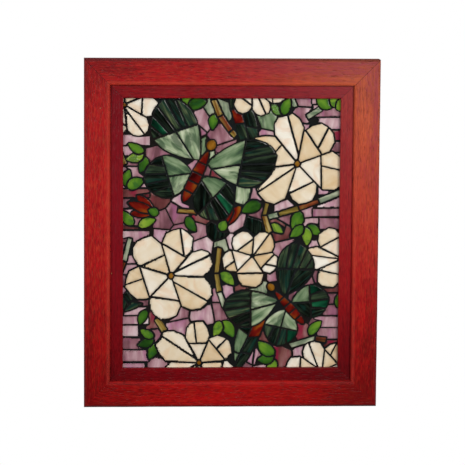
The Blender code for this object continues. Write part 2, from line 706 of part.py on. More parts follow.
def main():
    for old in list(bpy.data.objects):
        bpy.data.objects.remove(old)
    panel = bpy.data.collections.new("mosaic_panel")
    cutters = bpy.data.collections.new("cutters")
    for collection in (panel, cutters):
        bpy.context.scene.collection.children.link(collection)
    finishes = {name: material(name, *values) for name, values in OTHER_FINISHES.items()}
    for name, colour in GLASS.items():
        finishes[name] = material(f"{name}_glass", colour, GLASS_ROUGHNESS, 0.0)
    rails = make_frame(panel, finishes["stained_wood"])
    make_board(panel, finishes["plywood"])
    make_glass(panel, finishes)
    for name, x in (("hanger_left", -HANGER_SPREAD), ("hanger_right", HANGER_SPREAD)):
        make_hanger(name, x, rails["frame_rail_top"], panel, cutters, finishes["steel"])


main()
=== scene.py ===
"""The looks of a framed stained-glass mosaic panel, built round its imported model.

Lengths are in metres unless a line says millimetres, in the model's own frame: X to the right, Z up, and
the panel faces -Y."""

import functools
import math

import bpy
import numpy as np
from bpy.props import FloatProperty, FloatVectorProperty, IntProperty, PointerProperty
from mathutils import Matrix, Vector


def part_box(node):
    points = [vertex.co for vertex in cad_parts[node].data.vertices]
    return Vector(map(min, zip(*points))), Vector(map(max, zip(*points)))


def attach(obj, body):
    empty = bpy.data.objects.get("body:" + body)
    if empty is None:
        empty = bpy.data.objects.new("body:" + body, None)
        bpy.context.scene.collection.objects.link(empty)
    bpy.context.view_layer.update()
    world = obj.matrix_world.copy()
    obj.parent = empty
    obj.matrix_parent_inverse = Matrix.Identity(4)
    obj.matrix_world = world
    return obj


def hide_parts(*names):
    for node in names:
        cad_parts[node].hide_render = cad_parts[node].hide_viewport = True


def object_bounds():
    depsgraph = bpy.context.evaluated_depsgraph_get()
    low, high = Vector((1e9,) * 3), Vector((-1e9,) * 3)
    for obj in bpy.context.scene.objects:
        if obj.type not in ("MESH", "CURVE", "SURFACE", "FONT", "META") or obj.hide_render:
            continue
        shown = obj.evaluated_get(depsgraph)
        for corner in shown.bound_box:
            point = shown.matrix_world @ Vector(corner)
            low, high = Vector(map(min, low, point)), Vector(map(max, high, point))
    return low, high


bl_info = {
    "name": "Mosaic Panel",
    "version": (1, 0, 0),
    "blender": (4, 5, 0),
    "location": "3D View > Sidebar > Mosaic",
    "description": "Builds the wood, glass and grout of a framed mosaic panel",
    "category": "Object",
}

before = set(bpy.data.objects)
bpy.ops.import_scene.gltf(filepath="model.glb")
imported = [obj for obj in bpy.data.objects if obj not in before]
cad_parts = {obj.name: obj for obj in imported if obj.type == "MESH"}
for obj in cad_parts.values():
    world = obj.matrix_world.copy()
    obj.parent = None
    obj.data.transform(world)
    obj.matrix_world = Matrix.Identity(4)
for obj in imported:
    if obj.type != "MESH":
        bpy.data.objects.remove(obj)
CAD_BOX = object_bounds()

MM = 0.001
GAP = 0.0003  # round a hanger in its pocket, and how deep the glass is bedded in the grout behind it
BODY = "root"

# Frame: its outside from the model's box, and the sizes of its moulding
LOW, HIGH = (np.array(corner) for corner in CAD_BOX)
FRAME_WIDTH, FRAME_DEPTH, FRAME_HEIGHT = np.round(HIGH - LOW, 6)
CENTRE_Z = round((LOW[2] + HIGH[2]) / 2, 6)
FACE_WIDTH = 0.037
LIP_WIDTH = 0.0175
STEP_DEPTH = 0.006
LIP_THICKNESS = 0.007
REBATE = 0.009
OUTER_EASE = 0.0016
INNER_EASE = 0.0040
LIP_EASE = 0.0010
EASE_STEPS = 8
RAIL_STEPS = 160

# Glass and grout, from the boxes of the bed and of one piece of glass
BED_LOW, BED_HIGH = (np.array(corner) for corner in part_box("grout_bed"))
FIELD_HALF = np.round((BED_HIGH - BED_LOW)[[0, 2]] / 2, 6)
GLASS_FRONT, GLASS_BACK = (round(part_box("petal_glass_01")[i][1], 6) for i in (0, 1))
BED_BACK = round(BED_HIGH[1], 6)

# Mosaic
JOINT = 0.0020
SMALLEST_REACH = 0.0013  # a piece with less glass than this around its middle is left to the grout
SMALLEST_FEELER = 0.0007  # the same for a butterfly's feelers
SMALLEST_CELL = 0.0021  # and for the ground's cells
NIBBLE_DEPTH = 0.00014  # of the cutter's small bites along an edge
NIBBLE_WAVES = (520, 610, 1100)  # radians a metre
GRID_STEP = 0.001
GRID_MARGIN = 0.012
FIRST_RAYS = 72
RAYS = 64
RAY_STEPS = 20
SEED = 12
LEAF_LENGTH = (0.024, 0.033)
LEAF_FULLNESS = (0.52, 0.64)  # width over length
BAR_LENGTH = (0.022, 0.040)
SHORTEST_BAR = 0.006
BAND_HEIGHT = (0.0125, 0.0185)
BAND_LENGTH = (0.030, 0.052)
BAND_TILT = 0.0008
CELL_SPACING = 0.027
GLASS_PIECES = 48
LARGEST_OF_EACH_GLASS = 2

# Fine surfaces
ARRIS_STEPS = 3
ARRIS_SPREAD, ARRIS_LIMITS = 0.35, (0.4, 2.0)  # how unevenly it is worn, as shares of its radius
INNER_RINGS = np.array([0.82, 0.5])  # share of the way out from a piece's middle
SWELL_WAVES = np.array([(170, 60), (-70, 150)])  # radians a metre along x and z
RIM_WIDTH = 0.003  # of the darker rim of a piece
GROUT_STEP = 0.00125
UNDERCUT = 0.0012  # how far in under the glass the grout ends
SANDING_WAVES = ((38, 0, 1), (91, 160, 1), (230, -90, 0.6))  # radians a metre along and across, and height
WAVE_DEPTH = 0.00004
ROUGH_DEPTH = 0.00006  # of the ripple in the grout
MITRE_EASE = 0.003  # as a share of half the rail
MITRE_DEPTH = 0.00003
WOOD_SHARP, GROUT_SHARP, GLASS_SHARP = 32, 60, 48  # degrees: an edge that turns further isn't smoothed
WORN_MIDDLE, WORN_SPREAD = 0.0030, 0.0024  # of the worn stripe, from the face's inner edge
RAIL_STAINS_AND_SHADE = {  # how far the lip's tint, the worn inner edge and the dark outer arris show on each rail; lip and arris differ from rail to rail by painted shade
    "top": {"lip": 0.74, "worn": 0.42, "arris": 0.6},
    "right": {"lip": 0.57, "worn": 0.22, "arris": 0.2},
    "bottom": {"lip": 0.96, "worn": 0.0, "arris": 0.75},
    "left": {"lip": 1.0, "worn": 0.28, "arris": 0.3},
}
# the sides are dark with stain and painted shade
SIDE_STAIN_AND_SHADE = 0.6
FLOOR_RADIUS = 2.6
FLOOR_RINGS, FLOOR_SIDES = 8, 64
LIGHT_QUARTER = (0, 0.6, 0.8)  # the way to where the room is lightest
LIGHT_EDGES = 0.75, 0.98  # cosines of how far from there its light starts and is full
ROOM_GREY = 0.05  # the colour of its walls

# Motifs, in millimetres from the middle of the opening, with angles in degrees
BUTTERFLIES = ((-46, 88, 64, 116, 6), (78, -100, 132, 92, 5))  # x, z, heading, size, strips in a wing
BUDS = ((-12, 10, 72, 46), (-108, 30, 160, 40))  # x, z, heading, size
BLOSSOMS = (  # x, z, radius, petals, turn
    (92, 98, 68, 6, 20),
    (-84, -60, 69, 6, 50),
    (30, -32, 43, 5, 10),
    (-44, -184, 60, 6, 5),
    (156, -36, 50, 6, 30),
    (-150, 180, 56, 6, 24),
    (130, -196, 52, 6, 24),
    (28, 204, 46, 6, 24),
)
SPRAYS = (  # x, z, heading, leaves
    (-118, 112, 200, 3),
    (142, 172, 80, 3),
    (70, 162, 120, 3),
    (-10, 28, 220, 3),
    (-134, 8, 100, 4),
    (-14, -120, -60, 3),
    (-104, -150, 200, 3),
    (104, 14, -90, 3),
    (66, -48, -30, 3),
    (146, -108, 90, 3),
    (-66, 176, 20, 3),
    (66, -176, 190, 3),
    (-150, 62, 20, 3),
)
BLADES = ((-2, 204, -76, 110, 32, 0.08), (-162, -112, 50, 100, 32, -0.08), (10, -194, 66, 116, 32, 0.06))
BRANCHES = (  # three points of a bow, width, leaves
    ((-76, 32), (-44, 20), (-12, 46), 9, 3),
    ((54, 58), (38, 30), (54, 0), 9, 2),
    ((-16, -20), (-28, -60), (-8, -106), 9, 4),
    ((-122, -94), (-104, -120), (-84, -152), 9, 3),
    ((84, -160), (108, -144), (136, -152), 9, 3),
    ((-26, 188), (-18, 160), (6, 136), 9, 2),
    ((158, 60), (100, 34), (40, 20), 8, 3),
    ((-158, 120), (-120, 20), (-158, -60), 8, 3),
    ((158, 196), (124, 176), (100, 160), 8, 2),
)


def unit(angle):
    return np.array([math.cos(angle), math.sin(angle)])


def across(angle):
    """The direction a quarter turn anticlockwise of an angle."""
    return unit(angle + math.pi / 2)


def unit_rows(angles):
    """A unit direction for each angle, one to a row."""
    return np.column_stack([np.cos(angles), np.sin(angles)])


def spot(x, z):
    """A point of the field from its millimetres."""
    return np.array([x, z]) * MM


def sides_of(outline):
    """The vector from each point of a closed outline to the next one."""
    return np.roll(outline, -1, axis=0) - outline


def signed_distance(points, outline):
    """Distance from each point to the nearest side of a closed outline.

    It is less than zero inside, where a level ray crosses an odd number of sides."""
    side = sides_of(outline)
    offset = points[..., None, :] - outline
    share = (offset * side).sum(-1) / np.maximum((side**2).sum(-1), 1e-14)
    away = offset - np.clip(share, 0.0, 1.0)[..., None] * side
    distance = np.sqrt((away**2).sum(-1).min(-1))
    above = offset[..., 1] >= 0
    above_end = offset[..., 1] >= side[:, 1]
    left = side[:, 0] * offset[..., 1] > side[:, 1] * offset[..., 0]
    crossed = (above != above_end) & (left == above)
    return np.where(crossed.sum(-1) % 2 == 1, -distance, distance)


def area_of(outline):
    """Half the sum of the cross products of neighbouring points."""
    x, y = outline.T
    return 0.5 * abs(x @ np.roll(y, -1) - y @ np.roll(x, -1))


def cut_side(outline, point, normal):
    """The part of a convex outline behind a straight cut through a point."""
    height = (outline - point) @ normal
    after = np.roll(height, -1)
    crosses = (height <= 0) != (after <= 0)
    share = height / np.where(crosses, height - after, 1.0)
    meets = outline + share[:, None] * sides_of(outline)
    both = np.stack([outline, meets], axis=1).reshape(-1, 2)
    return both[np.stack([height <= 0, crosses], axis=1).ravel()]


def split(outline, point, angle):
    """Both parts of an outline, either side of the cut through a point that is square to an angle."""
    return [cut_side(outline, point, unit(angle)), cut_side(outline, point, -unit(angle))]


def lobe(root, angle, length, width, skew=1.0, fullness=0.7, bend=0.0, steps=14):
    """A leaf, petal or wing on a bowed middle line, with a power of sin(pi s^skew) for half its width."""
    s = np.linspace(0.0, 1.0, steps)
    half = 0.5 * width * np.abs(np.sin(math.pi * s**skew)) ** fullness
    middle = bend * length * 4 * s * (1 - s)
    along = length * np.concatenate([s, s[-2:0:-1]])
    aside = np.concatenate([middle - half, (middle + half)[-2:0:-1]])
    return root + np.outer(along, unit(angle)) + np.outer(aside, across(angle))


class Mosaic:
    """Glass laid piece by piece, each one cut to the room that the earlier pieces leave it."""

    def __init__(self):
        self.random = np.random.default_rng(SEED)
        self.pieces = []
        self.low = -FIELD_HALF - GRID_MARGIN
        counts = np.ceil(-2 * self.low / GRID_STEP).astype(int) + 1
        nodes = np.stack(np.meshgrid(*map(np.arange, counts), indexing="ij"), axis=-1)
        self.grid = self.low + GRID_STEP * nodes
        self.free = np.full(tuple(counts), 1.0)

    def between(self, low, high):
        return self.random.uniform(low, high)

    def pick(self, glasses, chances=None):
        return str(self.random.choice(glasses, p=chances))

    def window(self, outline, margin):
        """The block of the grid that holds an outline and a margin round it."""
        low = (outline.min(axis=0) - margin - self.low) / GRID_STEP
        high = (outline.max(axis=0) + margin - self.low) / GRID_STEP
        low, high = np.maximum(low.astype(int), 0), high.astype(int) + 2
        return slice(low[0], high[0]), slice(low[1], high[1])

    def free_at(self, points):
        """Distance from each point to the nearest laid piece, read between the four grid nodes around it."""
        place = (points - self.low) / GRID_STEP
        cell = np.clip(place.astype(int), 0, np.array(self.free.shape) - 2)
        x, y = (place - cell).T
        i, j = cell.T
        near = self.free[i, j] * (1 - x) + self.free[i + 1, j] * x
        far = self.free[i, j + 1] * (1 - x) + self.free[i + 1, j + 1] * x
        return near * (1 - y) + far * y

    def lay(self, motif, glass, design, keep=0.0, most=1, smallest=SMALLEST_REACH):
        """Lays up to most pieces of a design, but none that is less than the share keep of its area."""
        for normal in np.array([[-1, 0], [1, 0], [0, -1], [0, 1]]):
            design = cut_side(design, normal * FIELD_HALF, normal)
        for _ in range(most if len(design) > 2 else 0):
            outline = self.fit(design, smallest)
            if outline is None or area_of(outline) < keep * area_of(design):
                return
            window = self.window(outline, GRID_MARGIN)
            distance = signed_distance(self.grid[window], outline)
            self.free[window] = np.minimum(self.free[window], distance)
            piece = {"motif": motif, "glass": glass, "outline": outline, "centre": self.centre}
            piece["shade"] = self.between(0, 1)
            self.pieces.append(piece)

    def fit(self, design, smallest):
        """The outline of a piece: the reach of rays from the middle of the free part of its design."""
        joint = JOINT * self.between(0.75, 1.4)
        phase = self.random.uniform(0, 2 * math.pi, 3)

        def room(points, free):
            x, y = points.T
            nibble = np.sin(NIBBLE_WAVES[0] * x + phase[0]) * np.sin(NIBBLE_WAVES[1] * y + phase[1])
            nibble += 0.5 * np.sin(NIBBLE_WAVES[2] * (x + y) + phase[2])
            own = -signed_distance(points, design) - joint / 2
            return np.minimum(own, free - joint) - NIBBLE_DEPTH * (1 + nibble)

        def reach(rays):
            rays = rays / np.hypot(*rays.T)[:, None]
            length = np.zeros(len(rays))
            for _ in range(RAY_STEPS):
                points = centre + length[:, None] * rays
                length = length + 0.9 * room(points, self.free_at(points))
            return centre + length[:, None] * rays

        window = self.window(design, 0.0)
        seeds = self.grid[window].reshape(-1, 2)
        clear = room(seeds, self.free[window].ravel())
        if clear.max(initial=0.0) < smallest or (clear > 0).sum() < 3:
            return None
        weight = np.maximum(clear, 0)
        deep = seeds[clear > 0.75 * clear.max()]
        middle = weight @ seeds / weight.sum()
        centre = deep[((deep - middle) ** 2).sum(axis=1).argmin()]
        spread, axes = np.linalg.eigh(np.cov(seeds[clear > 0].T) + 1e-8 * np.eye(2))
        axes[:, 1] *= np.sign(np.linalg.det(axes))
        around = np.linspace(0, 2 * math.pi, FIRST_RAYS, endpoint=False)
        first = reach(unit_rows(around) * np.sqrt(spread) @ axes.T)
        self.centre = centre
        return reach(crowded(first) - centre)


def crowded(outline):
    """Points round a closed outline, closer where it turns, so that corners keep theirs."""
    side = sides_of(outline)
    length = np.hypot(*side.T)
    heading = np.unwrap(np.arctan2(side[:, 1], side[:, 0]))
    turn = np.abs(np.diff(heading, append=heading[0] + 2 * math.pi))
    share = length / length.sum() + (turn + np.roll(turn, 1)) / (8 * math.pi)
    measure = np.concatenate([[0.0], np.cumsum(share)])
    wanted = np.linspace(0, measure[-1], RAYS, endpoint=False)
    closed = np.vstack([outline, outline[:1]])
    return np.column_stack([np.interp(wanted, measure, closed[:, i]) for i in (0, 1)])


def lay_wing(mosaic, root, angle, length, width, strips, skew, bend):
    """Two pale patches next to the body and a fan of dark strips beyond them."""
    outline = lobe(root, angle, length, width, skew, 0.6, bend, 20)
    inner, outer = split(outline, root + unit(angle) * length * 0.5, angle + mosaic.between(-0.3, 0.3))
    rib = root + unit(angle) * length * 0.3 + across(angle) * bend * length
    for half in split(inner, rib, angle + math.pi / 2 + mosaic.between(-0.1, 0.1)):
        mosaic.lay("wing", mosaic.pick(["celadon", "celadon", "pine"]), half)
    behind = root - 0.25 * length * unit(angle)
    spread = math.atan2(width * 0.5, length * 0.95)
    bounds = angle + 1.3 * bend + np.linspace(-spread, spread, strips + 1)
    for low, high in zip(bounds[:-1], bounds[1:]):
        strip = outer
        if low > bounds[0]:
            strip = cut_side(strip, behind, -across(low))
        if high < bounds[-1] and len(strip) > 2:
            strip = cut_side(strip, behind, across(high))
        mosaic.lay("wing", "pine" if mosaic.between(0, 1) < 0.86 else "teal", strip)


def lay_butterfly(mosaic, x, z, heading, size, strips):
    """A head, a body cut into rings, two feelers and two pairs of wings."""
    centre, heading, size = spot(x, z), math.radians(heading), size * MM
    ahead, aside = unit(heading) * size, across(heading) * size
    mosaic.lay("body", "amber", lobe(centre + 0.27 * ahead, heading, 0.15 * size, 0.13 * size, fullness=0.6))
    rest = lobe(centre - 0.44 * ahead, heading, 0.72 * size, 0.15 * size, 0.8, 0.55)
    for stop in (0.10, -0.03, -0.15, -0.28):
        segment, rest = split(rest, centre + stop * ahead, heading + math.pi)
        mosaic.lay("body", "maroon", segment)
    mosaic.lay("body", "maroon", rest)
    for s in (1, -1):
        root = centre + 0.38 * ahead + 0.02 * s * aside
        feeler = lobe(root, heading + 0.45 * s, 0.3 * size, 0.03 * size, fullness=0.3)
        mosaic.lay("body", "rust", feeler, keep=0.3, smallest=SMALLEST_FEELER)
    for s in (1, -1):
        root = centre + 0.12 * ahead + 0.05 * s * aside
        lay_wing(mosaic, root, heading + s, 0.86 * size, 0.58 * size, strips, 1.3, 0.07 * s)
        root = centre - 0.06 * ahead + 0.05 * s * aside
        lay_wing(mosaic, root, heading + 2.15 * s, 0.6 * size, 0.52 * size, strips - 1, 1.1, 0.0)


def lay_bud(mosaic, x, z, heading, size):
    """A closed flower: long dark red petals on a green cup."""
    root, heading, size = spot(x, z), math.radians(heading), size * MM
    cup = lobe(root - 0.18 * size * unit(heading), heading, 0.42 * size, 0.34 * size, 0.8)
    mosaic.lay("leaf", "leaf", cup)
    mosaic.lay("bud", "maroon", lobe(root, heading, size, 0.36 * size, 0.9, 0.6))
    for s in (1, -1):
        petal = lobe(root, heading + 0.42 * s, 0.86 * size, 0.36 * size, 0.95, 0.6)
        mosaic.lay("bud", "maroon", petal, keep=0.3)


def lay_blossom(mosaic, x, z, radius, petals, turn):
    """Broad petals round a small heart, each a wedge with a rounded rim, cut into two or three."""
    centre, radius = spot(x, z), radius * MM
    heart = 0.075 * radius
    mosaic.lay("heart", "amber", lobe(centre - [heart, 0], 0.0, 2 * heart, 2 * heart, fullness=0.5, steps=5))
    widths = mosaic.random.uniform(0.8, 1.2, petals)
    edges = math.radians(turn) + 2 * math.pi * np.concatenate([[0], np.cumsum(widths)]) / widths.sum()
    for k in mosaic.random.permutation(petals):
        middle, half = (edges[k] + edges[k + 1]) / 2, (edges[k + 1] - edges[k]) / 2
        length = radius * mosaic.between(0.84, 1.12)
        u = np.linspace(-1, 1, 7)
        reach = length * (1 - 0.30 * np.abs(u) ** 2.4) * (1 + mosaic.random.uniform(-0.035, 0.035, 7))
        rim = centre + reach[:, None] * unit_rows(middle + half * u)
        base = centre + 0.9 * heart * unit_rows(np.array([edges[k + 1], edges[k]]))
        petal = np.vstack([rim, base])
        out, aside = unit(middle) * length, across(middle) * radius
        if mosaic.between(0, 1) < 0.3:
            parts = split(petal, centre + 0.6 * out + mosaic.between(-0.06, 0.06) * aside,
                          middle + math.pi / 2 + mosaic.between(-0.12, 0.12))
        else:
            point = centre + mosaic.between(0.46, 0.62) * out
            parts = split(petal, point, middle + mosaic.between(-0.4, 0.4))
            if mosaic.between(0, 1) < 0.4:
                parts[1:] = split(parts[1], centre + 0.7 * out + mosaic.between(-0.1, 0.1) * aside,
                                  middle + math.pi / 2 + mosaic.between(-0.35, 0.35))
        for part in parts:
            mosaic.lay("petal", "cream", part, most=2)


def lay_leaf(mosaic, root, heading, side):
    """A short full leaf, bowed to one side."""
    length = mosaic.between(*LEAF_LENGTH)
    width = length * mosaic.between(*LEAF_FULLNESS)
    mosaic.lay("leaf", "leaf", lobe(root, heading, length, width, 0.8, 0.72, 0.04 * side), keep=0.5)


def lay_spray(mosaic, x, z, heading, leaves):
    """Leaves in a fan from a point."""
    for k in range(leaves):
        angle = math.radians(heading + 50 * (k - (leaves - 1) / 2)) + mosaic.between(-0.1, 0.1)
        lay_leaf(mosaic, spot(x, z) + 4 * MM * unit(angle), angle, 1)


def lay_blade(mosaic, x, z, angle, length, width, bend):
    """A long dark leaf: a half either side of its rib, each cut across several times."""
    root, angle, length, width = spot(x, z), math.radians(angle), length * MM, width * MM
    outline = lobe(root, angle, length, width, 0.9, 0.7, bend, 22)
    rib = root + unit(angle) * length * 0.5 + across(angle) * bend * length * 0.9
    for rest in split(outline, rib, angle + math.pi / 2):
        reach = mosaic.between(0.16, 0.26)
        while reach < 1:
            point = root + unit(angle) * length * reach
            glass = mosaic.pick(["pine", "pine", "pine", "maroon", "celadon"])
            part, rest = split(rest, point, angle + mosaic.between(-0.55, 0.55))
            mosaic.lay("blade", glass, part, most=2)
            reach += mosaic.between(0.2, 0.34) if len(rest) > 2 else 1
        mosaic.lay("blade", "pine", rest, most=2)


def lay_branch(mosaic, start, pull, end, width, leaves):
    """Bars end to end along a quadratic bow, with leaves to either side by turns."""
    start, pull, end = (spot(*point) for point in (start, pull, end))
    t = np.linspace(0, 1, 200)[:, None]
    path = (1 - t) ** 2 * start + 2 * t * (1 - t) * pull + t**2 * end
    heading = np.arctan2(*np.gradient(path, axis=0).T[::-1])
    along = np.concatenate([[0], np.cumsum(np.hypot(*np.diff(path, axis=0).T))])
    half = width * MM / 2
    stops = [0.0]
    while stops[-1] < along[-1] - SHORTEST_BAR:
        stops.append(min(stops[-1] + mosaic.between(*BAR_LENGTH), along[-1]))
    at = np.searchsorted(along, stops).clip(0, len(path) - 1)
    for a, b in zip(at[:-1], at[1:]):
        widths = half * mosaic.random.uniform(0.84, 1.16, 2)
        sides = widths[:, None] * [across(heading[a]), across(heading[b])]
        bar = np.array([path[a] - sides[0], path[b] - sides[1], path[b] + sides[1], path[a] + sides[0]])
        mosaic.lay("stem", mosaic.pick(["ochre", "rust", "smoke"]), bar, keep=0.3)
    for k in range(leaves):
        i = np.searchsorted(along, along[-1] * (k + 0.6) / leaves)
        s = 1 if k % 2 else -1
        root = path[i] + s * half * across(heading[i])
        lay_leaf(mosaic, root, heading[i] + s * mosaic.between(0.55, 1.05), s)


def lay_ground(mosaic):
    """Level bands down both sides and, between them, the cells nearest to each of a scatter of points."""
    for s in (-1, 1):
        z = -FIELD_HALF[1]
        while z < FIELD_HALF[1]:
            height = mosaic.between(*BAND_HEIGHT)
            low, high = sorted((s * (FIELD_HALF[0] - mosaic.between(*BAND_LENGTH)), s * FIELD_HALF[0]))
            tilt = mosaic.between(-BAND_TILT, BAND_TILT)
            band = [(low, z), (high, z + tilt), (high, z + height + tilt), (low, z + height)]
            glass = mosaic.pick(["mauve", "mauve", "mauve", "mauve", "wine"])
            mosaic.lay("ground", glass, np.array(band), most=2)
            z += height
    counts = (2 * FIELD_HALF / CELL_SPACING).astype(int)
    nodes = np.stack(np.meshgrid(*[np.linspace(-1, 1, n + 1) for n in counts]), axis=-1).reshape(-1, 2)
    seeds = nodes * FIELD_HALF + mosaic.random.uniform(-0.4, 0.4, nodes.shape) * CELL_SPACING
    for seed in seeds:
        cell = seed + 1.3 * CELL_SPACING * np.array([[-1, -1], [1, -1], [1, 1], [-1, 1]])
        gaps = np.hypot(*(seeds - seed).T)
        for other in seeds[(gaps > 0) & (gaps < 3 * CELL_SPACING)]:
            cell = cut_side(cell, (seed + other) / 2, other - seed)
        glass = mosaic.pick(["mauve", "wine", "smoke", "pine", "celadon"], [0.7, 0.14, 0.06, 0.06, 0.04])
        mosaic.lay("ground", glass, cell, most=3, smallest=SMALLEST_CELL)


@functools.cache
def laid_mosaic():
    """The whole mosaic. Each motif takes its room from those laid after it."""
    mosaic = Mosaic()
    for lay, rows in (
        (lay_butterfly, BUTTERFLIES),
        (lay_bud, BUDS),
        (lay_blossom, BLOSSOMS),
        (lay_spray, SPRAYS),
        (lay_blade, BLADES),
        (lay_branch, BRANCHES),
    ):
        for row in rows:
            lay(mosaic, *row)
    lay_ground(mosaic)
    return mosaic


# Solid shapes


def new_object(name, data):
    made = bpy.data.objects.new(name, data)
    bpy.context.scene.collection.objects.link(made)
    return made


def new_mesh(name, points, faces, finish):
    mesh = bpy.data.meshes.new(name)
    mesh.from_pydata(points.tolist(), [], faces)
    mesh.materials.append(finish)
    return new_object(name, mesh)


def new_piece(name, points, faces, finish, sharp):
    """A smooth piece of the panel. Edges that turn by more degrees than sharp stay sharp."""
    piece = new_mesh(name, points, faces, finish)
    piece.data.shade_smooth()
    piece.data.set_sharp_from_angle(angle=math.radians(sharp))
    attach(piece, BODY)
    return piece


def give_map(piece, name, places):
    """A UV map that puts every corner at its own vertex's place."""
    mesh = piece.data
    corners = np.empty(len(mesh.loops), np.int32)
    mesh.loops.foreach_get("vertex_index", corners)
    mesh.uv_layers.new(name=name).uv.foreach_set("vector", places[corners].astype(np.float32).ravel())


def give(piece, name, values):
    """A number for each vertex, which materials read by name."""
    piece.data.attributes.new(name, "FLOAT", "POINT").data.foreach_set("value", values.astype(np.float32))


def rows_of_quads(rows, columns, first=0):
    """Faces between neighbouring closed rows of points, each row a loop of columns."""
    row, column = np.divmod(np.arange((rows - 1) * columns), columns)
    after = (column + 1) % columns
    row = first + row * columns
    ahead = row + columns
    return np.column_stack([row + column, row + after, ahead + after, ahead + column])


def fan(ring, middle):
    """Triangles from each side of a closed ring of points to one point."""
    return np.column_stack([ring, np.roll(ring, -1), np.full(len(ring), middle)])


# Shader maths


class Socket:
    """An output socket. Arithmetic on it adds Math nodes."""

    def __init__(self, nodes, output):
        self.nodes = nodes
        self.output = output

    def maths(self, operation, *inputs):
        return self.nodes.node("Math", {"operation": operation}, dict(enumerate(inputs)))

    def __add__(self, other):
        return self.maths("ADD", self, other)

    def __sub__(self, other):
        return self.maths("SUBTRACT", self, other)

    def __rsub__(self, other):
        return self.maths("SUBTRACT", other, self)

    def __mul__(self, other):
        return self.maths("MULTIPLY", self, other)

    __radd__ = __add__
    __rmul__ = __mul__


class Nodes:
    """The shader nodes of a material or a world in the making."""

    def __init__(self, owner):
        owner.use_nodes = True
        self.tree = owner.node_tree

    def put(self, socket, value):
        if isinstance(value, Socket):
            self.tree.links.new(value.output, socket)
        elif socket.type == "RGBA":
            socket.default_value = (*value[:3], 1.0)
        else:
            socket.default_value = value

    def node(self, kind, settings, sockets, output=0):
        """Adds a node: first its settings, then the values or links of its sockets."""
        made = self.tree.nodes.new("ShaderNode" + kind)
        for name, value in settings.items():
            if name == "stops":
                self.set_stops(made.color_ramp.elements, value)
            else:
                setattr(made, name, value)
        for key, value in sockets.items():
            self.put(made.inputs[key], value)
        return Socket(self, made.outputs[output])

    def set_stops(self, elements, stops):
        while len(elements) < len(stops):
            elements.new(1.0)
        for element, (place, colour) in zip(elements, stops):
            element.position = place
            element.color = (*colour, 1.0)


class Finish(Nodes):
    """A material in the making: nodes round one Principled shader."""

    def __init__(self, name, **constants):
        self.material = bpy.data.materials.new(name)
        super().__init__(self.material)
        self.shader = self.tree.nodes["Principled BSDF"]
        for socket, value in constants.items():
            self.feed(socket.replace("_", " "), value)

    def feed(self, socket, value):
        self.put(self.shader.inputs[socket], value)

    def map(self, name):
        return self.node("UVMap", {"uv_map": name}, {})

    def attribute(self, name):
        return self.node("Attribute", {"attribute_name": name}, {}, "Fac")

    def place(self):
        return self.node("TexCoord", {}, {}, "Object")

    def noise(self, vector, scale, detail=2.0, warp=0.0):
        sockets = {"Vector": vector, "Scale": scale, "Detail": detail, "Distortion": warp}
        return self.node("TexNoise", {}, sockets)

    def drawn(self, vector, scale, detail=2.0, warp=0.0, shift=(0, 0, 0)):
        """Noise with a scale of its own along each axis, which draws it out along the one with the least."""
        stretched = self.node("Mapping", {}, {"Vector": vector, "Scale": scale, "Location": shift})
        return self.noise(stretched, 1.0, detail, warp)

    def step(self, value, low, high):
        """Rises smoothly from 0 at low to 1 at high, or falls where low is the greater."""
        if low > high:
            return 1 - self.step(value, high, low)
        sockets = {"Value": value, "From Min": low, "From Max": high}
        return self.node("MapRange", {"interpolation_type": "SMOOTHSTEP"}, sockets)

    def ramp(self, value, stops):
        return self.node("ValToRGB", {"stops": stops}, {"Fac": value})

    def mix(self, share, first, second, blend="MIX"):
        settings = {"data_type": "RGBA", "blend_type": blend}
        return self.node("Mix", settings, {0: share, 6: first, 7: second}, output=2)

    def bump(self, height, distance):
        sockets = {"Height": height, "Distance": distance, "Strength": 1.0}
        self.feed("Normal", self.node("Bump", {}, sockets))


def paint(text):
    """A colour from its six hex digits, made linear."""
    parts = np.array([int(text[i : i + 2], 16) for i in (0, 2, 4)]) / 255
    linear = np.where(parts > 0.04045, ((parts + 0.055) / 1.055) ** 2.4, parts / 12.92)
    return tuple(linear.tolist())


# Wood


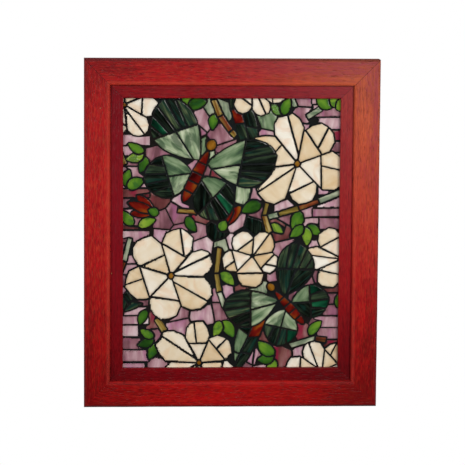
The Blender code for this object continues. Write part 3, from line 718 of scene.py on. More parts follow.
def wood_finish(looks):
    """Red-stained open-grained wood under satin varnish, with painted shade, sheen and glints.

    Noise drawn out along the rail makes flecks, streaks and pores, and rounder noise makes bands and
    blotches, where the wood took more or less stain. The stain is dull along the top and at the upper left.
    Painted shade darkens the lower corners and makes the lower half darker and a purer red, more so to the
    right. At the upper right the stain is thin and orange under a painted warm sheen, with painted purple
    sheen in clouds, and small lighter flecks all over are painted glints of the varnish. The lip is tinted,
    with painted shade deepest on the left and bottom lips and at the lower corners, the face's rounded inner
    edge is worn, the outer arris and the sides are dark with stain and painted shade, and the mitres are
    dark. A few nicks show bare wood, and so does the back."""
    finish = Finish("stained_wood", Specular_IOR_Level=0.17)
    grain, place = finish.map("Grain"), finish.place()
    names = ("lip", "worn", "arris", "rubbed", "side", "outer", "back", "mitre")
    lip, worn, arris, rubbed, side, outer, back, mitre = (finish.attribute(name) for name in names)
    x, z = (finish.node("SeparateXYZ", {}, {"Vector": place}, axis) for axis in "XZ")
    height = z - CENTRE_Z
    fleck = finish.drawn(grain, (130, 700, 1), 2.0, 0.3)
    streak = finish.drawn(grain, (26, 420, 1), 3.0, 0.5)
    band = finish.drawn(grain, (2.6, 42, 1), 3.0, 0.6)
    blotch = finish.drawn(grain, (24, 60, 1), 3.0, 0.5)
    # painted shade: low rises towards the lower corners, where the tone, the worn stripe and the lip are
    # darkened
    low = finish.step(x * x * 2.85 - height * 0.55, 0.08, 0.26)
    dull = finish.step(height * 0.6 - x, 0.2, 0.36) + finish.step(height, 0.16, 0.24)
    tone = fleck * 0.62 + streak * 0.4 + band * 0.3 + blotch * 0.3 - 0.81
    # painted shade: darker and a purer red towards the bottom, and darker still to the right along the
    # bottom
    painted_low_shade = finish.step(height, 0.05, -0.24)
    painted_slope_shade = painted_low_shade * (painted_low_shade * x * 0.15 + 0.04)
    tone = tone * (1 - lip * 0.15) + 0.5 - low * 0.26 - dull * (outer * 0.04 + 0.08) - painted_slope_shade
    deep, middle, light = looks.stain_deep, looks.stain, looks.stain_light
    red = finish.ramp(tone, [(0.2, deep), (0.5, middle), (0.8, light)])
    # the upper right, where the stain is thin and orange under a painted warm sheen
    corner = finish.step(x + height * 0.72, 0.10, 0.37)
    orange = finish.ramp(tone, [(0.25, looks.thin_stain_and_sheen_deep), (0.6, looks.thin_stain_and_sheen)])
    # painted purple sheen, in clouds within the upper right, more on the outer side and along the top
    cloud = finish.drawn(grain, (12, 130, 1), 3.0, 0.8)
    on_top = finish.step(height, 0.18, 0.22)
    purple_sheen_clouds = finish.step(cloud + fleck * 0.9 + outer * 0.35 + on_top * 0.08 - x, 0.90, 1.18)
    thin = finish.mix(purple_sheen_clouds * 0.75, orange, looks.purple_sheen)
    # on the lip, the painted sheen of the upper right is a purplish red
    thin = finish.mix(lip, thin, finish.mix(0.4, red, looks.purple_sheen))
    colour = finish.mix(corner, red, thin)
    colour = finish.mix(painted_low_shade, colour, (1.0, 0.5, 0.5), "MULTIPLY")
    # painted glints of the varnish: small lighter orange flecks, fewer towards the bottom and where the
    # stain is dull
    glint_noise = finish.drawn(grain, (80, 420, 1), shift=(5, 2, 0))
    painted_glints = finish.step(glint_noise, 0.42, 0.72) * (0.21 - painted_low_shade * 0.15 - dull * 0.07)
    colour = finish.mix(painted_glints, colour, looks.thin_stain_and_sheen)
    pores = finish.drawn(grain, (75, 560, 1), 3.0)
    pore = finish.step(pores, 0.56, 0.66)
    colour = finish.mix(pore * (0.42 - lip * 0.12), colour, looks.pore)
    # the worn stripe, orange under the painted sheen at the upper right, fades in the painted shade of the
    # lower corners
    colour = finish.mix(worn * (1 - low * 0.6), colour, finish.mix(corner, looks.worn, looks.thin_stain_and_sheen))
    # the lip's darker tint, deeper in the painted shade of the lower corners
    colour = finish.mix(lip * (low * 1.6 + 1), colour, looks.lip_tint, "MULTIPLY")
    joint = mitre * finish.step(height, -0.1, 0.2)
    # outer arris and sides: dark stain with painted shade; the top mitres: dark joints
    colour = finish.mix(arris + side + joint, colour, looks.arris)
    chips = finish.noise(place, 150.0, 1.0)
    bare = finish.ramp(tone, [(0.3, looks.bare_deep), (0.7, looks.bare)])
    nick = finish.step(chips, 0.80, 0.82)
    colour = finish.mix(nick + back * 0.8, colour, bare)
    finish.feed("Base Color", colour)
    unvarnished = back * 0.25 + (side + rubbed) * 0.35
    finish.feed("Roughness", looks.varnish_roughness + fleck * 0.12 + unvarnished - 0.06)
    finish.bump(streak * 0.35 - pore * 0.65 - nick * 0.5, 0.00012)
    return finish.material


def eased(centre, radius, start):
    """Points of a quarter circle, clockwise from an angle, round the centre of an eased corner."""
    turn = np.linspace(start, start - math.pi / 2, EASE_STEPS + 1)
    return centre + radius * unit_rows(turn)


def run(first, last, count):
    """Points spaced evenly from one to just short of another."""
    return np.linspace(first, last, count, endpoint=False)[1:]


def moulding_section():
    """The section of a rail, and what each point of it is part of.

    x runs in from the rail's outer side and y out from the wall. The points go round by the back, the outer
    side, the face, the step, the lip and the rebate, with quarter circles at the eased edges. Two points of
    the back lie where a hanger's pocket has its sides."""
    face, lip, inside = FRAME_DEPTH, FRAME_DEPTH - STEP_DEPTH, FACE_WIDTH + LIP_WIDTH
    under = lip - LIP_THICKNESS
    low, high = hanger_pocket("hanger_left")
    near, far = HIGH[2] - low[2], HIGH[2] - high[2]
    parts = (
        ("back", [(inside - REBATE, 0.0)]),
        ("back", run((inside - REBATE, 0.0), (near, 0.0), 3)),
        ("pocket", np.linspace((near, 0.0), (far, 0.0), 4)),
        ("back", run((far, 0.0), (0.0, 0.0), 3)),
        ("side", [(0.0, 0.0)]),
        ("side", run((0.0, 0.0), (0.0, face - OUTER_EASE), 7)),
        ("arris", eased((OUTER_EASE, face - OUTER_EASE), OUTER_EASE, math.pi)),
        ("face", run((OUTER_EASE, face), (FACE_WIDTH - INNER_EASE, face), 16)),
        ("worn", eased((FACE_WIDTH - INNER_EASE, face - INNER_EASE), INNER_EASE, math.pi / 2)),
        ("step", run((FACE_WIDTH, face - INNER_EASE), (FACE_WIDTH, lip), 3)),
        ("lip", [(FACE_WIDTH, lip)]),
        ("lip", run((FACE_WIDTH, lip), (inside - LIP_EASE, lip), 9)),
        ("lip", eased((inside - LIP_EASE, lip - LIP_EASE), LIP_EASE, math.pi / 2)),
        ("lip", [(inside, under), (inside - REBATE, under)]),
    )
    points = np.vstack([np.array(rows) for _, rows in parts])
    kinds = np.array([kind for kind, rows in parts for _ in rows])
    return points, kinds


def rail_stains_and_shade(inward, kinds, lip, worn, arris):
    """How much of each stain, and of the painted shade on the lip and the arris, every point of the section
    has, and which points are rubbed, side or back.

    The worn stripe is a bell curve near the face's inner edge, and outer falls evenly across the face."""
    front = np.isin(kinds, ("face", "worn"))
    return {
        "lip": lip * ((kinds == "lip") + 0.25 * (kinds == "step")),
        "worn": worn * front * np.exp(-(((FACE_WIDTH - inward - WORN_MIDDLE) / WORN_SPREAD) ** 2)),
        "arris": arris * (kinds == "arris"),
        "outer": front * (1 - inward / FACE_WIDTH),
        "rubbed": np.isin(kinds, ("worn", "arris")) * 1.0,
        "side": SIDE_STAIN_AND_SHADE * (kinds == "side"),
        "back": np.isin(kinds, ("back", "pocket")) * 1.0,
    }


def hanger_pocket(hanger):
    """The lowest and highest corner of a hanger's pocket, which is its own box with a gap all round."""
    low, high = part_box(hanger)
    return np.array(low) - GAP, np.array(high) + GAP


def sink(points, quads, block, depth):
    """Moves a block of a grid of points to a depth and puts a wall round it. The moved points are copies."""
    renumber = np.arange(len(points))
    renumber[block] = len(points) + np.arange(block.size).reshape(block.shape)
    floor = np.isin(quads, block).all(axis=1)
    quads = np.where(floor[:, None], renumber[quads], quads)
    rim = np.concatenate([block[0, :-1], block[:-1, -1], block[-1, :0:-1], block[:0:-1, 0]])
    after = np.roll(rim, -1)
    walls = np.column_stack([rim, after, renumber[after], renumber[rim]])
    moved = points[block.ravel()] * [1, 0, 1] + [0, depth, 0]
    return np.vstack([points, moved]), np.vstack([quads, walls])


def rail_runs(span, section, kinds, pockets):
    """How far along a rail the points of each row lie, and the rows where pockets start and end.

    t goes from -1 to 1 along the rail. Each point's run is cut back by as much as it is in from the outer
    side, which mitres the ends. At the pockets, the rows are shifted to where they start and end."""
    ends = np.array([0.0, 0.4, 1.0]) * MITRE_EASE
    t = np.concatenate([ends - 1, np.linspace(-1, 1, RAIL_STEPS + 1)[1:-1], 1 - ends[::-1]])[:, None]
    along = t * (span / 2 - section[:, 0])
    edges = np.array([corner[0] for pocket in pockets for corner in pocket])
    cuts = np.abs(t - edges / along[-1, 0]).argmin(axis=0)
    for column in np.flatnonzero(kinds == "pocket"):
        end = along[-1, column]
        along[:, column] = np.interp(t[:, 0], [-1, *t[cuts, 0], 1], [-end, *edges, end])
    return t, along, cuts


def sanded(section, kinds, t, along, measure, near_end, random):
    """The section in every row, with the long low waves of hand sanding and eased ends.

    The waves are sines of a few hundredths of a millimetre, square to the surface."""
    side = np.roll(section, -1, axis=0) - np.roll(section, 1, axis=0)
    outward = np.column_stack([-side[:, 1], side[:, 0]]) / np.hypot(*side.T)[:, None]
    shown = np.isin(kinds, ("face", "worn", "step", "lip", "arris"))
    starts = random.uniform(0, 2 * math.pi, 3)
    wave = sum(
        height * np.sin(a * along + b * measure + start)
        for (a, b, height), start in zip(SANDING_WAVES, starts)
    )
    swell = (WAVE_DEPTH * wave * (1 - t**8) - MITRE_DEPTH * near_end) * shown
    return section + swell[..., None] * outward


def turned_rows(along, rows, reach, turn):
    """The rows of a rail in the model's frame, turned about the middle of the opening."""
    ahead = np.array([math.cos(turn), -math.sin(turn)])
    away = np.array([math.sin(turn), math.cos(turn)])
    flat = along[..., None] * ahead + (reach - rows[..., :1]) * away
    return np.stack([flat[..., 0], -rows[..., 1], CENTRE_Z + flat[..., 1]], axis=-1).reshape(-1, 3)


def make_rail(name, span, reach, turn, seed, finish, hangers=()):
    """The moulding's section carried along a straight rail, with a pocket for each hanger."""
    section, kinds = moulding_section()
    pockets = [hanger_pocket(hanger) for hanger in hangers]
    t, along, cuts = rail_runs(span, section, kinds, pockets)
    near_end = np.clip(1 - (1 - np.abs(t)) / MITRE_EASE, 0, 1)
    measure = np.concatenate([[0.0], np.cumsum(np.hypot(*np.diff(section, axis=0).T))])
    rows = sanded(section, kinds, t, along, measure, near_end, np.random.default_rng(seed))
    points = turned_rows(along, rows, reach, turn)
    grid = np.arange(along.size).reshape(along.shape)
    quads = rows_of_quads(*along.shape)
    source = grid.ravel()
    for (low, _), first, last in zip(pockets, cuts[::2], cuts[1::2]):
        block = grid[first : last + 1, np.flatnonzero(kinds == "pocket")]
        points, quads = sink(points, quads, block, low[1])
        source = np.concatenate([source, block.ravel()])
    faces = [grid[0, ::-1].tolist(), grid[-1].tolist()] + quads.tolist()
    rail = new_piece(f"rail_{name}", points, faces, finish, WOOD_SHARP)
    places = np.stack([along + seed * 0.7, np.broadcast_to(measure + seed * 0.31, along.shape)], axis=-1)
    give_map(rail, "Grain", places.reshape(-1, 2)[source])
    for kind, stain in rail_stains_and_shade(section[:, 0], kinds, **RAIL_STAINS_AND_SHADE[name]).items():
        give(rail, kind, np.tile(stain, len(t))[source])
    give(rail, "mitre", np.broadcast_to(near_end, along.shape).ravel()[source])
    return rail


class MOSAIC_OT_wood(bpy.types.Operator):
    """Builds the four mitred rails of the frame"""

    bl_idname = "mosaic.wood"
    bl_label = "Frame"

    def execute(self, context):
        finish = wood_finish(context.scene.mosaic_wood)
        for seed, (name, span, reach) in enumerate((
            ("top", FRAME_WIDTH, FRAME_HEIGHT / 2),
            ("right", FRAME_HEIGHT, FRAME_WIDTH / 2),
            ("bottom", FRAME_WIDTH, FRAME_HEIGHT / 2),
            ("left", FRAME_HEIGHT, FRAME_WIDTH / 2),
        )):
            hangers = ("hanger_left", "hanger_right") if name == "top" else ()
            rail = make_rail(name, span, reach, seed * math.pi / 2, seed, finish, hangers)
            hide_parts(f"frame_rail_{name}")
        return {"FINISHED"}


# Board and hangers


def board_finish(looks):
    """Plain brown plywood: long soft grain up the board and a scatter of darker flecks."""
    finish = Finish("plywood")
    place = finish.place()
    tone = finish.drawn(place, (170, 1, 9), 5.0, 1.2)
    flecks = finish.step(finish.drawn(place, (900, 1, 90)), 0.66, 0.74)
    colour = finish.ramp(tone, [(0.3, looks.board_deep), (0.55, looks.board), (0.8, looks.board_light)])
    finish.feed("Base Color", finish.mix(flecks * 0.35, colour, looks.board_fleck))
    finish.feed("Roughness", 0.6 + tone * 0.2)
    finish.bump(tone, 0.0002)
    return finish.material


def steel_finish(looks):
    """Zinc-plated steel, brushed along its length and dulled in blotches."""
    finish = Finish("steel", Metallic=0.75)
    place = finish.place()
    lines = finish.drawn(place, (90, 2400, 2400), 3.0)
    dull = finish.noise(place, 160.0, 3.0)
    finish.feed("Base Color", finish.ramp(dull, [(0.35, looks.steel_dull), (0.65, looks.steel)]))
    finish.feed("Roughness", 0.36 + lines * 0.2 + dull * 0.15)
    finish.bump(lines, 0.00003)
    return finish.material


def refinish(name, finish):
    """Gives a solid of the model a new material."""
    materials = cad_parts[name].data.materials
    materials.clear()
    materials.append(finish)


class MOSAIC_OT_board(bpy.types.Operator):
    """Finishes the board behind the mosaic"""

    bl_idname = "mosaic.board"
    bl_label = "Backing board"

    def execute(self, context):
        refinish("backing_board", board_finish(context.scene.mosaic_back))
        return {"FINISHED"}


class MOSAIC_OT_hangers(bpy.types.Operator):
    """Finishes the two hangers and their nails"""

    bl_idname = "mosaic.hangers"
    bl_label = "Hangers"

    def execute(self, context):
        finish = steel_finish(context.scene.mosaic_back)
        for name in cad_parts:
            if name.startswith("hanger"):
                refinish(name, finish)
        return {"FINISHED"}


# Grout


def grout_finish(looks):
    """Nearly black cement, browner in places, with a sandy surface."""
    finish = Finish("grout", Specular_IOR_Level=0.15)
    place = finish.place()
    patch = finish.noise(place, 16.0, 3.0)
    sand = finish.noise(place, 2600.0, 3.0)
    colour = finish.ramp(patch, [(0.38, looks.cool), (0.62, looks.warm)])
    colour = finish.mix(finish.step(sand, 0.62, 0.75) * 0.2, colour, looks.grain)
    finish.feed("Base Color", colour)
    finish.feed("Roughness", 0.62 + sand * 0.3)
    finish.bump(sand, 0.0002)
    return finish.material


def grout_points(mosaic, looks):
    """A grid over the field.

    The grout meets the glass a little below its face and sinks with the distance from it, as 1 less an
    exponential, with a fine ripple of crossed sines. Well under the glass it drops almost to its back."""
    counts = np.ceil(2 * FIELD_HALF / GROUT_STEP).astype(int) + 1
    axes = [np.linspace(-half, half, count) for half, count in zip(FIELD_HALF, counts)]
    plan = np.stack(np.meshgrid(*axes, indexing="ij"), axis=-1).reshape(-1, 2)
    away = mosaic.free_at(plan)
    sunk = 1 - np.exp(-np.maximum(away, 0) / looks.curve)
    x, z = plan.T
    rough = np.sin(410 * x + 3 * np.sin(170 * z)) * np.sin(370 * z + 2 * np.sin(230 * x))
    front = GLASS_FRONT + looks.start + looks.sink * sunk + ROUGH_DEPTH * rough
    y = np.where(away < -UNDERCUT, GLASS_BACK - GAP, front)
    return counts, np.column_stack([x, y, CENTRE_Z + z])


def make_grout(mosaic, looks, finish):
    """The bed as a closed slab: the grid in front, a wall round its border and a fan for its back."""
    counts, front = grout_points(mosaic, looks)
    wide, high = counts
    index = np.arange(wide * high).reshape(wide, high)
    cells = np.stack([index[:-1, :-1], index[1:, :-1], index[1:, 1:], index[:-1, 1:]], axis=-1)
    border = np.concatenate([index[:-1, 0], index[-1, :-1], index[:0:-1, -1], index[0, :0:-1]])
    rim = front[border] * [1, 0, 1] + [0, BED_BACK, 0]
    centre = [[0.0, BED_BACK, CENTRE_Z]]
    back = len(front) + np.arange(len(border))
    wall = np.column_stack([np.roll(border, -1), border, back, np.roll(back, -1)])
    behind = fan(back, back[-1] + 1)[:, ::-1]
    faces = cells.reshape(-1, 4).tolist() + wall.tolist() + behind.tolist()
    grout = new_piece("grout", np.vstack([front, rim, centre]), faces, finish, GROUT_SHARP)
    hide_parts("grout_bed")


class MOSAIC_OT_grout(bpy.types.Operator):
    """Builds the grout that the glass is set in"""

    bl_idname = "mosaic.grout"
    bl_label = "Grout"

    def execute(self, context):
        looks = context.scene.mosaic_grout
        make_grout(laid_mosaic(), looks, grout_finish(looks))
        return {"FINISHED"}


# Glass

# How each glass looks: colours from dark to light, how far streaks, clouds, the piece's own shade and the
# way along it move a point through them, streaks to the metre along and across, and its wisps
GLASS_LOOKS = {
    "cream": dict(colours=("D3B68C", "E0CEB0", "EADFCC", "F1ECE1"), moves=(0.22, 0.32, 0.75, 0.0),
                  streaks=(16, 60), wisp="E0B68C", wisps=0.2, roughness=0.16),
    "mauve": dict(colours=("6A454D", "8E626C", "A9828B", "C4A3AA", "DBC9CB"), moves=(0.5, 0.35, 0.8, 0.0),
                  streaks=(9, 75), wisp="A8628C", wisps=0.30, roughness=0.12),
    "wine": dict(colours=("43201F", "653838", "81524F", "9A7274"), moves=(0.5, 0.4, 0.4, 0.0),
                 streaks=(9, 75), wisp="86203A", wisps=0.5, roughness=0.12),
    "pine": dict(colours=("030403", "090E09", "172019", "31402E", "66704C"), moves=(0.65, 0.3, 0.5, 0.0),
                 streaks=(12, 190), wisp="123A32", wisps=0.3, roughness=0.15),
    "celadon": dict(colours=("36493A", "577050", "7A8F6E", "9FAE8D", "C4CCB1"), moves=(0.6, 0.4, 0.5, 0.0),
                    streaks=(12, 110), wisp="2A4630", wisps=0.42, roughness=0.10),
    "teal": dict(colours=("04160E", "0A3322", "175638", "3A7A54"), moves=(0.45, 0.5, 0.3, 0.3),
                 streaks=(14, 90), wisp="0A2C20", wisps=0.3, roughness=0.08),
    "leaf": dict(colours=("1F4016", "38651E", "547F27", "70962E", "93AB40"), moves=(0.25, 0.35, 0.75, 0.25),
                 streaks=(22, 90), wisp="24552A", wisps=0.35, roughness=0.10),
    "maroon": dict(colours=("2E0606", "500E0D", "70190F", "864214", "94641E"), moves=(0.25, 0.6, 0.3, 0.35),
                   streaks=(12, 60), wisp="3A0608", wisps=0.3, roughness=0.08),
    "amber": dict(colours=("43260A", "6E420F", "946520", "B38C40"), moves=(0.35, 0.4, 0.3, 0.0),
                  streaks=(16, 90), wisp="5A2A08", wisps=0.3, roughness=0.10),
    "ochre": dict(colours=("4E3D1A", "75652E", "968040", "B8A670"), moves=(0.65, 0.35, 0.4, 0.0),
                  streaks=(10, 210), wisp="6A3A18", wisps=0.5, roughness=0.12),
    "rust": dict(colours=("2E1710", "52291B", "7A3C22", "9A5C3A"), moves=(0.6, 0.35, 0.4, 0.0),
                 streaks=(10, 190), wisp="7E7038", wisps=0.3, roughness=0.12),
    "smoke": dict(colours=("5E6C5E", "88937A", "B0B69E", "D8DACA"), moves=(0.6, 0.4, 0.4, 0.0),
                  streaks=(12, 130), wisp="4F6A4E", wisps=0.45, roughness=0.12),
}


def glass_finish(name, colours, moves, streaks, wisp, wisps, roughness):
    """Rolled art glass.

    Noise drawn out along the sheet makes streaks and rounder noise makes clouds. With the piece's own shade
    and the way along it, they choose the place on a row of colours. Curling wisps of one more colour lie
    over it, its rim is darker, and a few pieces are hammered."""
    finish = Finish(f"{name}_glass", Roughness=roughness, Specular_IOR_Level=0.3)
    sheet = finish.map("Sheet")
    shade, along, rim, texture = (finish.attribute(item) for item in ("shade", "along", "rim", "texture"))
    streak = finish.drawn(sheet, (*streaks, 1), 3.0, 0.8)
    cloud = finish.drawn(sheet, (38, 52, 1), 2.0, 0.5)
    by_streak, by_cloud, by_shade, by_way = moves
    place = 0.5 + (streak - 0.5) * (2.4 * by_streak) + (cloud - 0.5) * (2.4 * by_cloud)
    place = place + (shade - 0.5) * by_shade + (along - 0.5) * by_way
    stops = zip(np.linspace(0, 1, len(colours)), [paint(text) for text in colours])
    colour = finish.ramp(place, list(stops))
    curl = finish.drawn(sheet, (streaks[0] * 1.6, streaks[1] * 0.5, 1), 3.0, 1.6, (3, 7, 0))
    mask = finish.step(curl + (shade - 0.5) * 0.12, 0.5, 0.68) * wisps * 1.8
    colour = finish.mix(mask, colour, paint(wisp))
    colour = finish.mix((1 - rim) * 0.45, colour, (0.25, 0.22, 0.2), "MULTIPLY")
    finish.feed("Base Color", colour)
    ripple = finish.noise(sheet, 120.0, 2.0)
    hammer = finish.noise(sheet, 420.0, 1.0)
    finish.bump(ripple * 0.3 + hammer * texture * 1.6, 0.0006)
    return finish.material


def sheet_direction(piece, random):
    """The way that a piece's streaks run: upright in the ground, anyhow in petals, else along the piece."""
    outline = piece["outline"]
    if piece["motif"] == "ground":
        return math.pi / 2 + random.normal(0, 0.16)
    if piece["motif"] in ("petal", "heart"):
        return random.uniform(0, math.pi)
    spread = np.cov(outline.T)
    return 0.5 * math.atan2(2 * spread[0, 1], spread[0, 0] - spread[1, 1]) + random.normal(0, 0.07)


def worn_rings(offset, looks, random):
    """Rings of a piece's outline, each drawn in towards its middle.

    Two rings make the wall, a quarter circle makes the arris, and the rest carry the face. With them come
    each point's depth below the face and its distance in from the edge."""
    reach = np.hypot(*offset.T)
    worn = 1 + ARRIS_SPREAD * random.standard_normal(len(offset))
    arris = looks.arris * worn.clip(*ARRIS_LIMITS)
    turn = np.linspace(0, math.pi / 2, ARRIS_STEPS + 1)
    inner = np.ones(len(INNER_RINGS))
    inset = np.concatenate([[0.0], 1 - np.cos(turn), inner])[:, None]
    depth = np.concatenate([[0.0], 1 - np.sin(turn), 0 * inner])[:, None]
    share = np.concatenate([np.ones(ARRIS_STEPS + 2), INNER_RINGS])[:, None]
    rings = offset * (1 - inset * (arris / reach))[..., None] * share[..., None]
    return rings, depth * arris, inset * arris + (1 - share) * reach


def cut_glass(piece, looks, random):
    """A closed piece of cut glass, whose face leans a little and swells by crossed sines."""
    outline, centre = piece["outline"], piece["centre"]
    rings, sunk, inward = worn_rings(outline - centre, looks, random)
    plan = np.vstack([[centre], (centre + rings).reshape(-1, 2), [centre]])
    tilt = math.radians(looks.tilt) * random.standard_normal(2)
    waves = random.uniform(0, 2 * math.pi, 2)
    relief = np.hypot(*tilt) * np.hypot(*(outline - centre).T).max() + (plan - centre) @ tilt
    relief += looks.swell * (2 + np.sin((plan - centre) @ SWELL_WAVES.T + waves).sum(axis=1))
    y = GLASS_FRONT + relief + np.concatenate([[0.0], sunk.ravel(), [0.0]])
    y[: len(outline) + 1] = GLASS_BACK
    first_ring = 1 + np.arange(len(outline))
    last_ring = len(plan) - 1 - len(outline) + np.arange(len(outline))
    back, front = fan(first_ring, 0)[:, ::-1], fan(last_ring, len(plan) - 1)
    angle = sheet_direction(piece, random)
    turned = np.column_stack([(plan - centre) @ unit(angle), (plan - centre) @ across(angle)])
    way = turned[:, 0] / max(np.abs(turned[:, 0]).max(), MM)
    return {
        "points": np.column_stack([plan[:, 0], y, CENTRE_Z + plan[:, 1]]),
        "faces": (back, rows_of_quads(len(rings), len(outline), 1), front),
        "Sheet": turned + random.uniform(0, 8, 2),
        "shade": np.full(len(plan), piece["shade"]),
        "along": 0.5 + 0.5 * way * random.choice([-1, 1]),
        "rim": np.clip(np.concatenate([[0.0], inward.ravel() / RIM_WIDTH, [1.0]]), 0, 1),
        "texture": np.full(len(plan), float(piece["glass"] == "leaf" and random.random() < looks.hammered)),
    }


def joined_glass(name, cuts, finish):
    """One object from several pieces of one glass."""
    firsts = np.cumsum([0] + [len(cut["points"]) for cut in cuts[:-1]])
    faces = []
    for cut, first in zip(cuts, firsts):
        for part in cut["faces"]:
            faces += (part + first).tolist()
    points = np.vstack([cut["points"] for cut in cuts])
    piece = new_piece(name, points, faces, finish, GLASS_SHARP)
    give_map(piece, "Sheet", np.vstack([cut["Sheet"] for cut in cuts]))
    for item in ("shade", "along", "rim", "texture"):
        give(piece, item, np.concatenate([cut[item] for cut in cuts]))
    return piece


def solid_pieces(pieces):
    """The pieces that are solids in the model, in the order of their names: the largest of each glass, and
    then the next largest of all."""
    ranked = sorted(pieces, key=lambda piece: area_of(piece["outline"]), reverse=True)
    kinds = {}
    for piece in ranked:
        kinds.setdefault(piece["glass"], []).append(piece)
    best = [piece for kind in kinds.values() for piece in kind[:LARGEST_OF_EACH_GLASS]]
    others = [piece for kind in kinds.values() for piece in kind[LARGEST_OF_EACH_GLASS:]]
    others.sort(key=lambda piece: area_of(piece["outline"]), reverse=True)
    return best + others[: GLASS_PIECES - len(best)]


def check_place(node, outline):
    """Raises an error unless a piece's outline fills its solid's box."""
    low, high = (np.array(corner)[[0, 2]] - [0, CENTRE_Z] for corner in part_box(node))
    error = max(np.abs(outline.min(axis=0) - low).max(), np.abs(outline.max(axis=0) - high).max())
    if error > MM:
        raise RuntimeError(f"{node} is {error / MM:.1f} mm away from its own piece of glass")


class MOSAIC_OT_glass(bpy.types.Operator):
    """Builds every piece of glass: the large ones each on their own, the others joined by their kind"""

    bl_idname = "mosaic.glass"
    bl_label = "Glass"

    def execute(self, context):
        looks = context.scene.mosaic_glass
        pieces = laid_mosaic().pieces
        random = np.random.default_rng(looks.seed)
        finishes = {name: glass_finish(name, **values) for name, values in GLASS_LOOKS.items()}
        for piece in pieces:
            piece["cut"] = cut_glass(piece, looks, random)
        solids = solid_pieces(pieces)
        counts = {}
        for piece in solids:
            motif, glass = piece["motif"], piece["glass"]
            counts[motif] = counts.get(motif, 0) + 1
            node = f"{motif}_glass_{counts[motif]:02d}"
            check_place(node, piece["outline"])
            made = joined_glass(f"{motif}_{counts[motif]:02d}", [piece["cut"]], finishes[glass])
            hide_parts(node)
            piece["solid"] = True
        for glass, finish in finishes.items():
            cuts = [piece["cut"] for piece in pieces if piece["glass"] == glass and "solid" not in piece]
            if cuts:
                joined_glass(f"small_{glass}_glass", cuts, finish)
        return {"FINISHED"}


# Stage


def floor_finish():
    """Pale matt paper with a faint mottle. It fades out towards its rim, so that it has no horizon."""
    finish = Finish("pale_floor", Roughness=0.9)
    place = finish.place()
    tone = finish.noise(place, 3.0, 3.0)
    finish.feed("Base Color", finish.ramp(tone, [(0.3, (0.93, 0.93, 0.93)), (0.7, (0.96, 0.96, 0.96))]))
    away = finish.node("VectorMath", {"operation": "LENGTH"}, {0: place}, "Value")
    finish.feed("Alpha", finish.step(away, FLOOR_RADIUS, 0.5 * FLOOR_RADIUS))
    return finish.material


def make_floor(drop):
    """A disc of rings round the point below the panel."""
    radius = FLOOR_RADIUS * np.linspace(0.1, 1, FLOOR_RINGS)
    turn = np.linspace(0, 2 * math.pi, FLOOR_SIDES, endpoint=False)
    plan = np.vstack([(radius[:, None, None] * unit_rows(turn)).reshape(-1, 2), [[0.0, 0.0]]])
    points = np.column_stack([plan, np.full(len(plan), LOW[2] - drop)])
    hub = fan(np.arange(FLOOR_SIDES), len(plan) - 1)
    rings = rows_of_quads(FLOOR_RINGS, FLOOR_SIDES)[:, ::-1]
    new_mesh("floor", points, hub.tolist() + rings.tolist(), floor_finish())


def make_world(looks):
    """White where the camera sees it. To all else it is a room, dim in front and light high up behind."""
    world = bpy.data.worlds.new("studio")
    bpy.context.scene.world = world
    sky = Nodes(world)
    sky.tree.nodes.remove(sky.tree.nodes["Background"])
    way = sky.node("TexCoord", {}, {}, "Generated")
    nearness = sky.node("VectorMath", {"operation": "DOT_PRODUCT"}, {0: way, 1: LIGHT_QUARTER}, "Value")
    start, full = LIGHT_EDGES
    sockets = {"Value": nearness, "From Min": start, "From Max": full}
    sockets |= {"To Min": looks.room, "To Max": looks.behind}
    strength = sky.node("MapRange", {}, sockets)
    room = sky.node("Background", {}, {"Color": [ROOM_GREY] * 3, "Strength": strength})
    white = sky.node("Background", {}, {"Color": [1.0] * 3})
    seen = sky.node("LightPath", {}, {}, "Is Camera Ray")
    mixed = sky.node("MixShader", {}, {0: seen, 1: room, 2: white})
    sky.put(sky.tree.nodes["World Output"].inputs["Surface"], mixed)


def make_light(name, power, place, size, aim=(0, 0, CENTRE_Z), spread=70, colour=(1.0, 1.0, 1.0)):
    """A round area light, turned towards the point that it is aimed at. Its spread is in degrees."""
    light = bpy.data.lights.new(name, "AREA")
    light.shape = "DISK"
    light.size = size
    light.spread = math.radians(spread)
    light.energy = power
    light.color = colour
    lamp = new_object(name, light)
    lamp.location = place
    lamp.rotation_euler = (Vector(aim) - Vector(place)).to_track_quat("-Z", "Y").to_euler()


def make_camera(looks):
    """A long lens, a little above the panel and to its left."""
    data = bpy.data.cameras.new("camera")
    data.lens = looks.lens
    data.sensor_width = 36.0
    camera = new_object("camera", data)
    camera.location = looks.camera_place
    camera.rotation_euler = looks.camera_turn
    bpy.context.scene.camera = camera


class MOSAIC_OT_stage(bpy.types.Operator):
    """Adds the floor, the lights and the camera"""

    bl_idname = "mosaic.stage"
    bl_label = "Stage"

    def execute(self, context):
        looks = context.scene.mosaic_stage
        context.scene.view_settings.view_transform = "Standard"
        make_floor(looks.floor_drop)
        make_world(looks)
        make_light("key", looks.key, place=(0.75, -1.6, 0.3), size=0.9, colour=(1.0, 0.98, 0.94))
        make_light("fill", looks.fill, place=(-1.0, -1.5, 0.2), size=1.2)
        make_light("overhead", looks.overhead, place=(0, 0.7, 1.6), size=1.2, aim=(0, 0.6, -1), spread=100)
        make_light("back_left", looks.back, place=(1.2, 1.3, CENTRE_Z + 0.1), size=0.9, spread=80)
        make_light("back_right", 0.6 * looks.back, place=(-1.3, 1.3, CENTRE_Z + 0.1), size=0.9, spread=80)
        make_camera(looks)
        return {"FINISHED"}


# Settings


def colour_setting(name, description, text):
    more = {"size": 3, "min": 0, "max": 1, "subtype": "COLOR"}
    return FloatVectorProperty(name=name, description=description, default=paint(text), **more)


def setting(name, description, default, **more):
    return FloatProperty(name=name, description=description, default=default, min=0, **more)


def length_setting(name, description, default):
    return setting(name, description, default, precision=5, unit="LENGTH")


def power_setting(name, description, default):
    return setting(name, description, default, unit="POWER")


def share_setting(name, description, default):
    return setting(name, description, default, max=1, subtype="FACTOR")


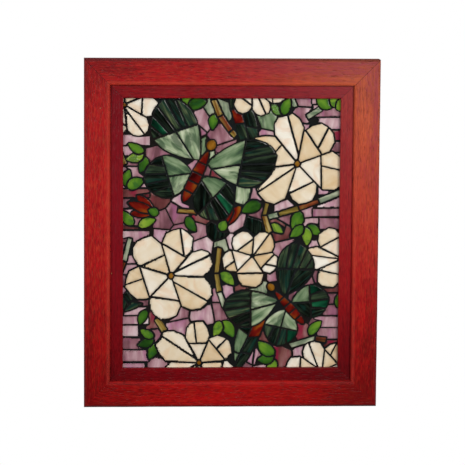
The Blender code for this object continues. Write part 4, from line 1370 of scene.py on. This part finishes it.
class WoodLooks(bpy.types.PropertyGroup):
    stain: colour_setting("Stain", "Red of the face", "A51317")
    stain_deep: colour_setting("Deep stain", "Red where the grain is closest", "6E0B10")
    stain_light: colour_setting("Light stain", "Red where the grain is open", "BF2521")
    # these two are thin stain with a painted warm sheen at the upper right, also used for the worn stripe
    # there and the painted glints
    thin_stain_and_sheen: colour_setting("Thin stain", "Orange towards the upper right", "C25A35")
    thin_stain_and_sheen_deep: colour_setting("Thin stain, close grain", "Its darker streaks", "8E3A28")
    # painted purple sheen at the upper right
    purple_sheen: colour_setting("Purple stain", "Clouds at the upper right", "8E3040")
    worn: colour_setting("Rounded edge", "Where sanding has thinned the stain", "C0432A")
    lip_tint: colour_setting("Lip", "What the lip's colour is multiplied by", "B575DA")
    # dark stain with painted shade on the outer arris and the sides
    arris: colour_setting("Outer edge", "Stain on the outer arris, the sides and the mitres", "38060A")
    pore: colour_setting("Pores", "Stain in the open pores", "540B0E")
    bare: colour_setting("Bare wood", "Wood of the back and of nicks", "A9764C")
    bare_deep: colour_setting("Bare wood, close grain", "Its darker streaks", "7A4A2A")
    varnish_roughness: share_setting("Varnish", "How satin the varnish is", 0.32)


class BackLooks(bpy.types.PropertyGroup):
    board: colour_setting("Board", "Plywood", "A57C4C")
    board_deep: colour_setting("Board, close grain", "Its darker streaks", "966E42")
    board_light: colour_setting("Board, open grain", "Its paler streaks", "B48C5A")
    board_fleck: colour_setting("Flecks", "Darker flecks in the board", "6C4A28")
    steel: colour_setting("Steel", "Zinc-plated steel of the hangers", "918E87")
    steel_dull: colour_setting("Dull steel", "Its duller blotches", "6E6B65")


class GroutLooks(bpy.types.PropertyGroup):
    cool: colour_setting("Cool", "Blue-black grout", "070D0F")
    warm: colour_setting("Warm", "Brown-black grout", "0E0806")
    grain: colour_setting("Sand", "Its paler grains", "2B2521")
    start: length_setting("Start", "Depth below the glass where grout meets it", 0.00035)
    sink: length_setting("Sink", "How much deeper it lies far from the glass", 0.0010)
    curve: length_setting("Curve", "Distance over which it sinks", 0.0012)


class GlassLooks(bpy.types.PropertyGroup):
    arris: length_setting("Arris", "Radius of the worn edge", 0.00035)
    swell: length_setting("Swell", "Height of the waves in the face", 0.00005)
    tilt: setting("Tilt", "How far pieces lean, in degrees", 0.35, max=3)
    hammered: share_setting("Hammered", "Share of leaves with a hammered face", 0.12)
    seed: IntProperty(name="Seed", description="Seed of the sheets' patterns", default=7, min=0)


class StageLooks(bpy.types.PropertyGroup):
    lens: FloatProperty(name="Lens", description="Focal length", default=200.4, min=1, unit="CAMERA")
    camera_place: FloatVectorProperty(
        name="Camera place",
        description="Where the camera stands",
        size=3,
        default=(-0.206, -3.6064, 0.2432),
        subtype="TRANSLATION",
    )
    camera_turn: FloatVectorProperty(
        name="Camera turn",
        description="Where the camera looks",
        size=3,
        default=[math.radians(angle) for angle in (82.655, -0.418, -3.259)],
        subtype="EULER",
    )
    floor_drop: length_setting("Floor", "Distance from the panel down to the floor", 0.9)
    room: setting("Room", "Strength of the grey room in front", 0.04)
    behind: setting("Behind", "Its strength high up behind", 0.45)
    key: power_setting("Key", "Main light, at the upper right", 4.2)
    fill: power_setting("Fill", "Weaker light at the left", 3.0)
    overhead: power_setting("Overhead", "Light over the floor", 9)
    back: power_setting("Back", "Stronger of the two lights on the back", 7)


SETTINGS = {
    "wood": WoodLooks,
    "back": BackLooks,
    "grout": GroutLooks,
    "glass": GlassLooks,
    "stage": StageLooks,
}
OPERATORS = (
    MOSAIC_OT_wood,
    MOSAIC_OT_board,
    MOSAIC_OT_hangers,
    MOSAIC_OT_grout,
    MOSAIC_OT_glass,
    MOSAIC_OT_stage,
)


class MOSAIC_PT_panel(bpy.types.Panel):
    bl_label = "Mosaic panel"
    bl_idname = "MOSAIC_PT_panel"
    bl_space_type = "VIEW_3D"
    bl_region_type = "UI"
    bl_category = "Mosaic"

    def draw(self, context):
        for name, group in SETTINGS.items():
            box = self.layout.box()
            box.label(text=name.title())
            looks = getattr(context.scene, f"mosaic_{name}")
            for item in group.__annotations__:
                box.prop(looks, item)
        for operator in OPERATORS:
            self.layout.operator(operator.bl_idname)


def register():
    for name, group in SETTINGS.items():
        bpy.utils.register_class(group)
        setattr(bpy.types.Scene, f"mosaic_{name}", PointerProperty(type=group))
    for made in (*OPERATORS, MOSAIC_PT_panel):
        bpy.utils.register_class(made)


def unregister():
    for made in reversed((*OPERATORS, MOSAIC_PT_panel)):
        bpy.utils.unregister_class(made)
    for name, group in reversed(SETTINGS.items()):
        delattr(bpy.types.Scene, f"mosaic_{name}")
        bpy.utils.unregister_class(group)


def main():
    register()
    bpy.ops.mosaic.wood()
    bpy.ops.mosaic.board()
    bpy.ops.mosaic.hangers()
    bpy.ops.mosaic.grout()
    bpy.ops.mosaic.glass()
    bpy.ops.mosaic.stage()


if __name__ == "__main__":
    main()
